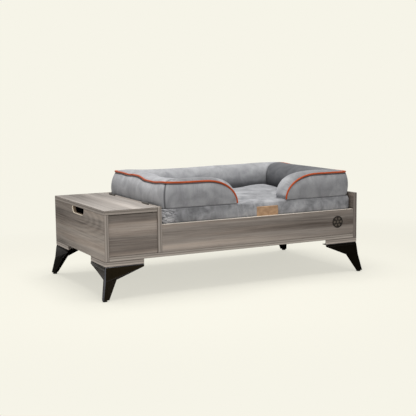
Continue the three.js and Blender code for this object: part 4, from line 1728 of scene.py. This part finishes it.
@dataclass
class BaseCushion:
    """The base cushion: a sewn box with soft corners, domed where nothing lies on it."""

    cell: float = 0.0085
    corner: float = 0.008
    brow: float = 0.008
    """Width of the rounding at its top and bottom."""
    inset: float = 0.0005
    dome: float = 0.0215
    soft: float = 0.055
    """How far from the bolster the dome takes to rise."""
    gap: float = 0.0012
    """The room between the cushion and the boards round it."""

    def __post_init__(self) -> None:
        """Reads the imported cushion's place and the free part of its top."""
        self.low, self.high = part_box("mattress_base")
        self.well_low = Vector((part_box("bolster_left")[1].x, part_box("bolster_front_left")[1].y, 0))
        self.well_high = Vector((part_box("bolster_right")[0].x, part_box("bolster_back")[0].y, 0))
        self.gap_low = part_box("bolster_front_left")[1].x
        self.gap_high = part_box("bolster_front_right")[0].x
        self.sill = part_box("front_rail")[1].z

    def free(self, x: float, y: float) -> float:
        """How free the top is at a place.

        Args:
            x: The place along X.
            y: The place along Y.

        Returns:
            0 under the bolster, and 1 well inside the bed or in the entry.
        """
        well = min(
            smoothstep(0, self.soft, x - self.well_low.x),
            smoothstep(0, 0.4 * self.soft, self.well_high.x - x),
            smoothstep(-0.01, 0.4 * self.soft, self.well_high.y - y),
        )
        inside = smoothstep(-0.05, 0.02, y - self.well_low.y)
        gap = min(smoothstep(-0.005, 0.05, x - self.gap_low), smoothstep(-0.005, 0.05, self.gap_high - x))
        return well * max(inside, gap * (1 - inside))

    def swelling(self, x: float, y: float) -> float:
        """How high the free top stands at a place, with a soft fold across it.

        Args:
            x: The place along X.
            y: The place along Y.

        Returns:
            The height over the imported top.
        """
        across = (x - self.well_low.x) / (self.well_high.x - self.well_low.x)
        deep = (self.well_high.y - y) / (self.well_high.y - self.well_low.y)
        full = 0.6 + 0.4 * smoothstep(0.72, 0.88, across)
        fold = 0.003 * math.sin(9 * across + 3.1 * deep + 0.6)
        return self.dome * full * smoothstep(1.32, 0.25, deep) + fold * smoothstep(1.1, 0.6, deep)

    def build(self, velvet: Material) -> Object:
        """Builds the cushion and blows it up.

        Args:
            velvet: Its finish.

        Returns:
            The cushion.
        """
        piece = finished(self._block(), "base_cushion_shell", [velvet])
        remesh = piece.modifiers.new("cells", "REMESH")
        remesh.mode = "VOXEL"
        remesh.voxel_size = self.cell
        applied(piece)
        for polygon in piece.data.polygons:
            polygon.use_smooth = True
        held = []
        numbers = {"seam": [], "crush": [], "nap": []}
        crushed = Vector((self.low.x, self.low.y, self.high.z - 0.025))
        for vertex in piece.data.vertices:
            co = vertex.co
            top = co.z > self.high.z - 0.5 * self.brow
            bottom = co.z < self.low.z + 0.5 * self.brow
            numbers["seam"].append(self._painted_shade(co, top))
            # Painted shade on the cushion's sides, darker under the bolster's returns.
            numbers["nap"].append(0.0 if top else self._painted_light(co.x))
            if top:
                free = self.free(co.x, co.y)
                held.append(1.0 - free)
                co.z += self.swelling(co.x, co.y) * free
            else:
                held.append(1.0 if bottom else 0.0)
            numbers["crush"].append(smoothstep(0.090, 0.02, (co - crushed).length))
        Inflation(pressure=4.0, growth=0.045, reach=0.010).run(piece, held, [1.0] * len(held))
        self.trim(piece)
        marked(piece, numbers)
        subdivided(piece)
        settle(piece, "mattress", "velvet", "mattress_base")
        return piece

    def _block(self) -> BMesh:
        """Makes the cushion's block, with round corners and brows.

        Returns:
            The block.
        """
        inset = Vector((self.inset, self.inset, 0))
        low, high = self.low + inset, self.high - inset
        place = Matrix.Translation((low + high) / 2) @ Matrix.Diagonal((*(high - low), 1.0))
        mesh = bmesh.new()
        bmesh.ops.create_cube(mesh, size=1.0, matrix=place)
        upright = [e for e in mesh.edges if abs(e.verts[0].co.z - e.verts[1].co.z) > 0.01]
        rounded(mesh, upright, self.corner, 6, clamp=False)
        rims = [e for e in mesh.edges
                if abs(e.verts[0].co.z - e.verts[1].co.z) < MERGE and e.calc_face_angle(0.0) > 1.0]
        rounded(mesh, rims, self.brow, 4, clamp=False)
        return mesh

    def _painted_shade(self, place: Vector, top: bool) -> float:
        """Painted shade under the brow, and a painted shadow along the front where the cushion goes in behind
        the rail.

        Args:
            place: The place on the cushion.
            top: Whether it is on the cushion's top.

        Returns:
            The darkness, 0 to 1.
        """
        over, near = place.z - self.sill, place.y < self.low.y + 0.012
        # Painted shadow along the front, in a band about the rail's top edge; it stays when the mattress is
        # lifted.
        painted_shadow = 0.6 * smoothstep(0.010, 0.002, over) * smoothstep(-0.022, -0.008, over) if near else 0.0
        if top:
            return painted_shadow
        under = max(self.high.z - 0.004 - place.z, 0.0)
        return max(0.25 * max(0.0, 1 - abs(under - 0.35 * self.brow) / 0.006), painted_shadow)

    def _painted_light(self, x: float) -> float:
        """Painted shade on the sides, from left to right: darker under the left return, plain at the entry, a
        little darker under the right return.
        """
        return (0.5 * smoothstep(self.gap_low - 0.04, self.gap_low + 0.03, x) - 0.5
                - 0.2 * smoothstep(self.gap_high, self.gap_high + 0.1, x))

    def trim(self, piece: Object) -> None:
        """Keeps the cushion in its bay, on its board and under the bolster.

        Args:
            piece: The cushion.
        """
        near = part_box("front_rail")[1].y + self.gap
        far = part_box("back_panel")[0].y - self.gap
        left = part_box("divider_panel")[1].x + self.gap
        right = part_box("right_end_panel")[0].x - self.gap
        for vertex in piece.data.vertices:
            co = vertex.co
            co.x = min(max(co.x, left), right)
            co.y = min(max(co.y, near), far)
            roof = self.high.z - 0.0006 + 0.04 * self.free(co.x, co.y)
            co.z = min(max(co.z, self.low.z), roof)


# ---------------------------------------------------------------- patch, disc and studio


@dataclass
class LeatherPatch:
    """A blank leather patch sewn to the cushion's front: a stitched border, worn edges."""

    left: float = 0.094
    right: float = 0.200
    top: float = 0.324
    tall: float = 0.055
    thick: float = 0.0015
    skived: float = 0.0025
    """Width of the thinned edge."""
    margin: float = 0.0035
    pitch: float = 0.0042
    stitch: float = 0.36
    """Half the length of a stitch, in pitches."""
    thread: tuple[float, float] = (0.00035, 0.00045)
    """Half the depth and height of a stitch."""

    def build(self, cushion: Object) -> list[Object]:
        """Lays the patch and its stitches on the cushion's front.

        Args:
            cushion: The base cushion.

        Returns:
            The patch and its stitches.
        """
        self.front = BVHTree.FromObject(cushion, bpy.context.evaluated_depsgraph_get())
        self.middle = Vector(((self.left + self.right) / 2, 0, self.top - self.tall / 2))
        self.half = ((self.right - self.left) / 2, self.tall / 2)
        patch = finished(self._leather(), "leather_patch", [TanLeather().material()])
        settle(patch, "mattress", "velvet")
        tan = PlainThread("thread_tan", (132, 98, 66)).material()
        return [patch, settle(finished(self._stitches(), "patch_stitches", [tan]), "mattress", "velvet")]

    def _on_front(self, x: float, z: float, proud: float) -> Vector:
        """Finds a place on the cushion's front.

        Args:
            x: How far it is to the right of the patch's middle.
            z: How far it is above it.
            proud: How far it stands out of the front.

        Returns:
            The place.
        """
        x, z = self.middle.x + x, self.middle.z + z
        spot = self.front.ray_cast(Vector((x, -1.0, z)), Vector((0, 1, 0)))[0]
        return Vector((x, spot.y - proud, z))

    def _leather(self) -> BMesh:
        """Lays the patch on the cushion's front.

        Returns:
            The patch.
        """
        mesh = bmesh.new()
        bmesh.ops.create_grid(mesh, x_segments=40, y_segments=22, size=0.5)
        for vertex in mesh.verts:
            x, z = (2 * share * half for share, half in zip(vertex.co, self.half))
            edge = min(half - abs(off) for off, half in zip((x, z), self.half))
            proud = self.thick * (0.55 + 0.45 * smoothstep(0, self.skived, edge))
            vertex.co = self._on_front(x, z, proud)
        bmesh.ops.recalc_face_normals(mesh, faces=mesh.faces)
        if sum(face.normal.y for face in mesh.faces) > 0:
            bmesh.ops.reverse_faces(mesh, faces=mesh.faces)
        bmesh.ops.solidify(mesh, geom=mesh.faces, thickness=self.thick)
        bmesh.ops.recalc_face_normals(mesh, faces=mesh.faces)
        return mesh

    def _stitches(self) -> BMesh:
        """Sews the stitches round the patch, just inside its edge.

        Returns:
            The stitches.
        """
        mesh = bmesh.new()
        wide, tall = (half - self.margin for half in self.half)
        size = Matrix.Diagonal((self.stitch * self.pitch, *self.thread, 1.0))
        corners = [Vector(c) for c in ((-wide, tall), (wide, tall), (wide, -tall), (-wide, -tall))]
        for number, start in enumerate(corners):
            run = corners[(number + 1) % 4] - start
            count = round(run.length / self.pitch)
            turn = Matrix.Rotation(math.pi / 2 * (number % 2), 4, "Y")
            for step in range(count):
                spot = self._on_front(*(start + run * (step + 0.5) / count), self.thick + 0.0001)
                bmesh.ops.create_icosphere(mesh, subdivisions=1, radius=1.0,
                                           matrix=Matrix.Translation(spot) @ turn @ size)
        return mesh


@dataclass
class RailDisc:
    """A blank bronzed disc on the rail: a raised rim, and a fluted field round a small boss."""

    x: float = 0.496
    z: float = 0.2315
    radius: float = 0.0265
    thick: float = 0.0030
    flutes: int = 6
    field: tuple[float, float] = (0.31, 0.82)
    """Where the fluted field begins and ends, in radii."""
    petals: tuple[float, float] = (0.38, 0.80)
    """Where its lighter petals do."""
    boss: float = 0.20
    """The radius of the boss, in radii."""

    def build(self) -> Object:
        """Builds the disc.

        Returns:
            The disc.
        """
        r, t = self.radius, self.thick
        rim = [(0.0, 0.0), (r, 0.0), (r, 0.7 * t), (r - 0.0006, t), (r - 0.0034, t), (r - 0.0040, 0.45 * t)]
        fluted = [(r * share, 0.62 * t) for share in (0.80, 0.72, 0.64, 0.56, 0.48, 0.40, 0.33)]
        boss = [(0.30 * r, 0.72 * t), (0.22 * r, 0.85 * t), (0.0, 0.88 * t)]
        mesh = spun([*rim, *fluted, *boss], self.flutes * 8)
        start, end = self.field
        for vertex in mesh.verts:
            out, wave = self._polar(vertex.co)
            if start < out < end and vertex.co.z > 0.1 * t:
                vertex.co.z += 0.50 * t * wave * math.sin(math.pi * (out - start) / (end - start))
        mesh.normal_update()
        for face in mesh.faces:
            out, wave = self._polar(face.calc_center_median())
            petal = self.petals[0] < out < self.petals[1] and wave > 0.1
            face.material_index = 1 if face.normal.z > 0.3 and (petal or out < self.boss) else 0
        place = Vector((self.x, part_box("front_rail")[0].y, self.z))
        mesh.transform(Matrix.Translation(place) @ Matrix.Rotation(math.pi / 2, 4, "X"))
        piece = finished(mesh, "rail_disc", [
            BronzedDisc().material(), BronzedDisc("bronzed_petals", (80, 73, 64), (118, 109, 98)).material(),
        ], smooth=False)
        return settle(piece, "frame", "fittings")

    def _polar(self, place: Vector) -> tuple[float, float]:
        """How far out a place on the disc is, in radii, and how its flute stands there, -1 to 1."""
        wave = math.cos(self.flutes * math.atan2(place.y, place.x))
        return math.hypot(place.x, place.y) / self.radius, wave


@dataclass
class Studio:
    """The camera, the lamps, and a pale floor that runs into a pale backdrop."""

    backdrop: Colour = (246, 244, 232)
    place: tuple[float, float, float] = (-1.805114, -3.551315, 0.806599)
    yaw: float = 27.081
    pitch: float = 7.347
    roll: float = -0.618
    lens: float = 77.5867
    sky: float = 0.40
    sky_colour: tuple[float, float, float] = (1.0, 0.985, 0.97)
    warm: tuple[float, float, float] = (1.0, 0.99, 0.97)
    """The lamps' colour."""
    bounce: tuple[float, float, float] = (0.42, 0.41, 0.40)
    """The floor's colour for the light that it sends back."""
    shade: float = 1.12
    """How far the lit floor is toned down to meet the backdrop."""
    shadow_share: float = 0.36
    """How strongly the shadow shows at the middle of the floor."""

    def camera(self) -> None:
        """Places the camera."""
        yaw, pitch, roll = (math.radians(a) for a in (self.yaw, self.pitch, self.roll))
        ahead = Vector((math.sin(yaw) * math.cos(pitch), math.cos(yaw) * math.cos(pitch), -math.sin(pitch)))
        right = Vector((math.cos(yaw), -math.sin(yaw), 0))
        up = right.cross(ahead)
        x_axis = math.cos(roll) * right + math.sin(roll) * up
        y_axis = -math.sin(roll) * right + math.cos(roll) * up
        data = bpy.data.cameras.new("camera")
        data.lens = self.lens
        data.sensor_width = 36.0
        data.clip_end = 200.0
        camera = bpy.data.objects.new("camera", data)
        turn = Matrix((x_axis, y_axis, -ahead)).transposed().to_4x4()
        camera.matrix_world = Matrix.Translation(self.place) @ turn
        bpy.context.scene.collection.objects.link(camera)
        bpy.context.scene.camera = camera

    def lamp(self, name: str, place: Sequence[float], target: Sequence[float], size: tuple[float, float],
             watts: float, mirrored: bool = False) -> None:
        """Hangs a soft warm lamp.

        Args:
            name: Its name.
            place: Where it hangs.
            target: What it faces.
            size: Its width and height.
            watts: Its power.
            mirrored: Whether glossy surfaces show it.
        """
        data = bpy.data.lights.new(name, "AREA")
        data.shape = "RECTANGLE"
        data.size, data.size_y = size
        data.energy = watts
        data.color = self.warm
        lamp = bpy.data.objects.new(name, data)
        lamp.visible_glossy = mirrored
        aim = Vector(target) - Vector(place)
        lamp.matrix_world = Matrix.Translation(place) @ aim.to_track_quat("-Z", "Y").to_matrix().to_4x4()
        bpy.context.scene.collection.objects.link(lamp)

    def world(self) -> None:
        """Sets the world: an even sky for light, and the backdrop's colour where it is seen."""
        world = bpy.data.worlds.new("studio")
        bpy.context.scene.world = world
        graph = NodeGraph(world)
        sky = graph.shader("Background", Color=(*self.sky_colour, 1.0), Strength=self.sky)
        backdrop = graph.shader("Background", Color=linear(*self.backdrop))
        graph.show(graph.blend(graph.seen(), sky, backdrop))

    def floor(self) -> None:
        """Lays the floor: it shows the backdrop's colour and a faint shadow, and sends little light back."""
        mesh = bmesh.new()
        bmesh.ops.create_grid(mesh, x_segments=8, y_segments=8, size=30.0)
        graph = NodeGraph(bpy.data.materials.new("studio_floor"))
        round_bed = {"Vector": graph.coordinates((0.45, 0.6, 1.0))}
        near = graph.add("TexGradient", round_bed, gradient_type="SPHERICAL")
        share = graph.fit(near.outputs["Fac"], 0.0, 0.45, 0.0, self.shadow_share)
        colour = linear(*self.backdrop)
        glow = graph.shader("Emission", Color=colour)
        shade = graph.shader("BsdfDiffuse", Color=(*(c / self.shade for c in colour[:3]), 1.0))
        bounce = graph.shader("BsdfDiffuse", Color=(*self.bounce, 1.0))
        graph.show(graph.blend(graph.seen(), bounce, graph.blend(share, glow, shade)))
        floor = finished(mesh, "floor", [graph.owner], smooth=False)

    def build(self) -> None:
        """Sets up everything."""
        bpy.context.scene.view_settings.view_transform = "Standard"
        self.camera()
        self.world()
        self.floor()
        self.lamp("overhead", (-0.12, 0.05, 2.7), (0.0, 0.05, 0.3), (2.2, 1.8), 68.0, mirrored=True)
        self.lamp("front", (-0.5, -4.2, 1.5), (0.0, 0.0, 0.25), (2.4, 1.2), 46.0)
        self.lamp("left_card", (-2.4, -0.4, 0.26), (0.0, -0.1, 0.30), (2.6, 0.44), 11.0)


# ---------------------------------------------------------------- the bed


def frame_boards() -> list[Board]:
    """The boards of the frame and the lid, with the decor as each is cut from it.

    Returns:
        The boards.
    """
    band = EdgeBand("edge_band")
    side = (
        (0.0, 0.60), (0.10, 0.50), (0.20, 0.70), (0.30, 0.55), (0.40, 0.65), (0.55, 0.40), (0.80, 0.35),
        (0.85, 0.50), (1.0, 0.70),
    )
    shaded = (
        (0.0, 0.15), (0.10, 0.20), (0.15, 0.40), (0.25, 0.35), (0.40, 0.35), (0.55, 0.15), (0.80, 0.20),
        (0.90, 0.30), (1.0, 0.35),
    )
    base = OakLaminate("laminate_base", (0.3, 0.0), 0.62)
    left_end = OakLaminate(
        "laminate_left_end", (2.1, 0.7), 0.202, side, shaded, (0.14, 0.52), cathedral=(0.30, 0.150, 0.15),
        light=(204, 193, 181),
    )
    right_end = OakLaminate("laminate_right_end", (4.2, 1.9), 0.202, shaded)
    divider = OakLaminate("laminate_divider", (6.7, 2.3), 0.184, side)
    # The storage front's streaks are darkest at its top: painted shadow under the lid's edge.
    storage_front = OakLaminate("laminate_storage_front", (8.9, 0.4), 0.17, (
        (0.0, 0.50), (0.10, 0.25), (0.25, 0.25), (0.35, 0.15), (0.40, 0.25), (0.50, 0.60), (0.70, 0.75),
        (0.80, 0.30), (1.0, 0.20),
    ), drift=0.040)
    storage_back = OakLaminate("laminate_storage_back", (1.9, 5.4), 0.17, side)
    back = OakLaminate("laminate_back", (3.3, 7.1), 0.184, side)
    rail = OakLaminate("laminate_rail", (5.2, 3.4), 0.112, (
        (0.0, 0.70), (0.10, 0.90), (0.20, 0.90), (0.35, 0.50), (0.60, 0.50), (0.70, 0.40), (0.80, 0.50),
        (1.0, 0.45),
    ), (
        (0.0, 0.30), (0.10, 0.55), (0.30, 0.55), (0.40, 0.15), (0.50, 0.0), (0.60, 0.10), (0.75, 0.35),
        (1.0, 0.45),
    ), (0.18, 0.78), drift=0.022)
    # The lid's streaks darken toward its back: partly its decor, partly painted shade, as its sheen fades
    # toward the back.
    lid = OakLaminate("laminate_lid", (7.7, 6.2), 0.226, (
        (0.0, 0.70), (0.10, 0.65), (0.20, 0.55), (0.35, 0.65), (0.45, 0.55), (0.60, 0.95), (0.75, 0.80),
        (0.80, 0.55), (0.90, 0.55), (1.0, 0.75),
    ), (
        (0.0, 0.40), (0.20, 0.20), (0.35, 0.25), (0.50, 0.40), (0.60, 0.60), (0.75, 0.45), (0.80, 0.30),
        (0.90, 0.35), (1.0, 0.50),
    ), (0.12, 0.50), drift=0.045, warmth=0.12, dark=(76, 68, 61), light=(197, 190, 183))
    # Painted highlight: the rail's edge band is near white, so that its top edge shows as a bright line.
    rail_band_painted_highlight = EdgeBand("edge_band_rail_painted_highlight", (240, 231, 218), (192, 181, 167))
    lid_band = EdgeBand("edge_band_lid", (169, 160, 151), (62, 54, 47))
    return [
        Board("base_board", Axis.X, Axis.Z, base, EdgeBand("edge_band_base", (188, 179, 169), (70, 61, 54))),
        Board("left_end_panel", Axis.Y, Axis.X, left_end, band),
        # Painted shade: the right end panel takes a darker copy of the edge band, as it falls darker toward
        # the right.
        Board("right_end_panel", Axis.Y, Axis.X, right_end,
              EdgeBand("edge_band_painted_shade", (138, 129, 122), (55, 47, 43))),
        Board("divider_panel", Axis.Y, Axis.X, divider, band),
        Board("storage_front_panel", Axis.X, Axis.Y, storage_front, band),
        Board("storage_back_panel", Axis.X, Axis.Y, storage_back, band),
        Board("back_panel", Axis.X, Axis.Y, back, band),
        Board("front_rail", Axis.X, Axis.Y, rail, rail_band_painted_highlight),
        Board("storage_lid", Axis.Y, Axis.Z, lid, lid_band, "lid"),
    ]


def leg_blocks(corners: Sequence[str]) -> list[Board]:
    """The blocks above the legs.

    Args:
        corners: The corners' names.

    Returns:
        The blocks.
    """
    band = EdgeBand("edge_band_block", (192, 182, 172), (74, 65, 58))
    return [
        Board("leg_block_" + corner, Axis.X, Axis.Z,
              OakLaminate("laminate_block_" + corner, (index * 1.3, 9.0), 0.2), band)
        for index, corner in enumerate(corners)
    ]


def dress_dowels(nodes: dict[str, Object]) -> None:
    """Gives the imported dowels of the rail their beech.

    Args:
        nodes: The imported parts.
    """
    beech = Beech().material()
    for name in ("left_lower", "left_upper", "right_lower", "right_upper"):
        dowel = nodes["rail_dowel_" + name]
        dowel.data.materials.clear()
        dowel.data.materials.append(beech)


def build_mattress() -> None:
    """Builds the cushion, the bolster with its piping, and the patch."""
    velvet = Velvet(dark=(118, 119, 122), light=(171, 172, 175), patch=22.0, sheen=0.45).material()
    cushion = BaseCushion().build(velvet)
    gathered = Velvet("velvet_gathered", gathered=True).material()
    # Painted shade: a darker copy of the velvet, with little sheen, for the right section's top and inner
    # side.
    brushed = Velvet("velvet_painted_shade", (86, 87, 90), (106, 107, 110), gathered=True, sheen=0.08).material()
    points, outward = Bolster().build(gathered, brushed)
    Piping().build(points, outward, PipingCord().material())
    LeatherPatch().build(cushion)


def main() -> None:
    """Builds the bed, its lights and its camera."""
    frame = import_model()
    nodes = frame["nodes"]
    Studio().build()

    legs = LegSet(nodes)
    boards = Boards(nodes)
    for board in frame_boards() + leg_blocks(legs.corners):
        boards.build(board)
    legs.build()
    Hinges(nodes).build()
    dress_dowels(nodes)
    build_mattress()
    RailDisc().build()


if __name__ == "__main__":
    logging.basicConfig(level=logging.INFO, format="%(message)s")
    main()
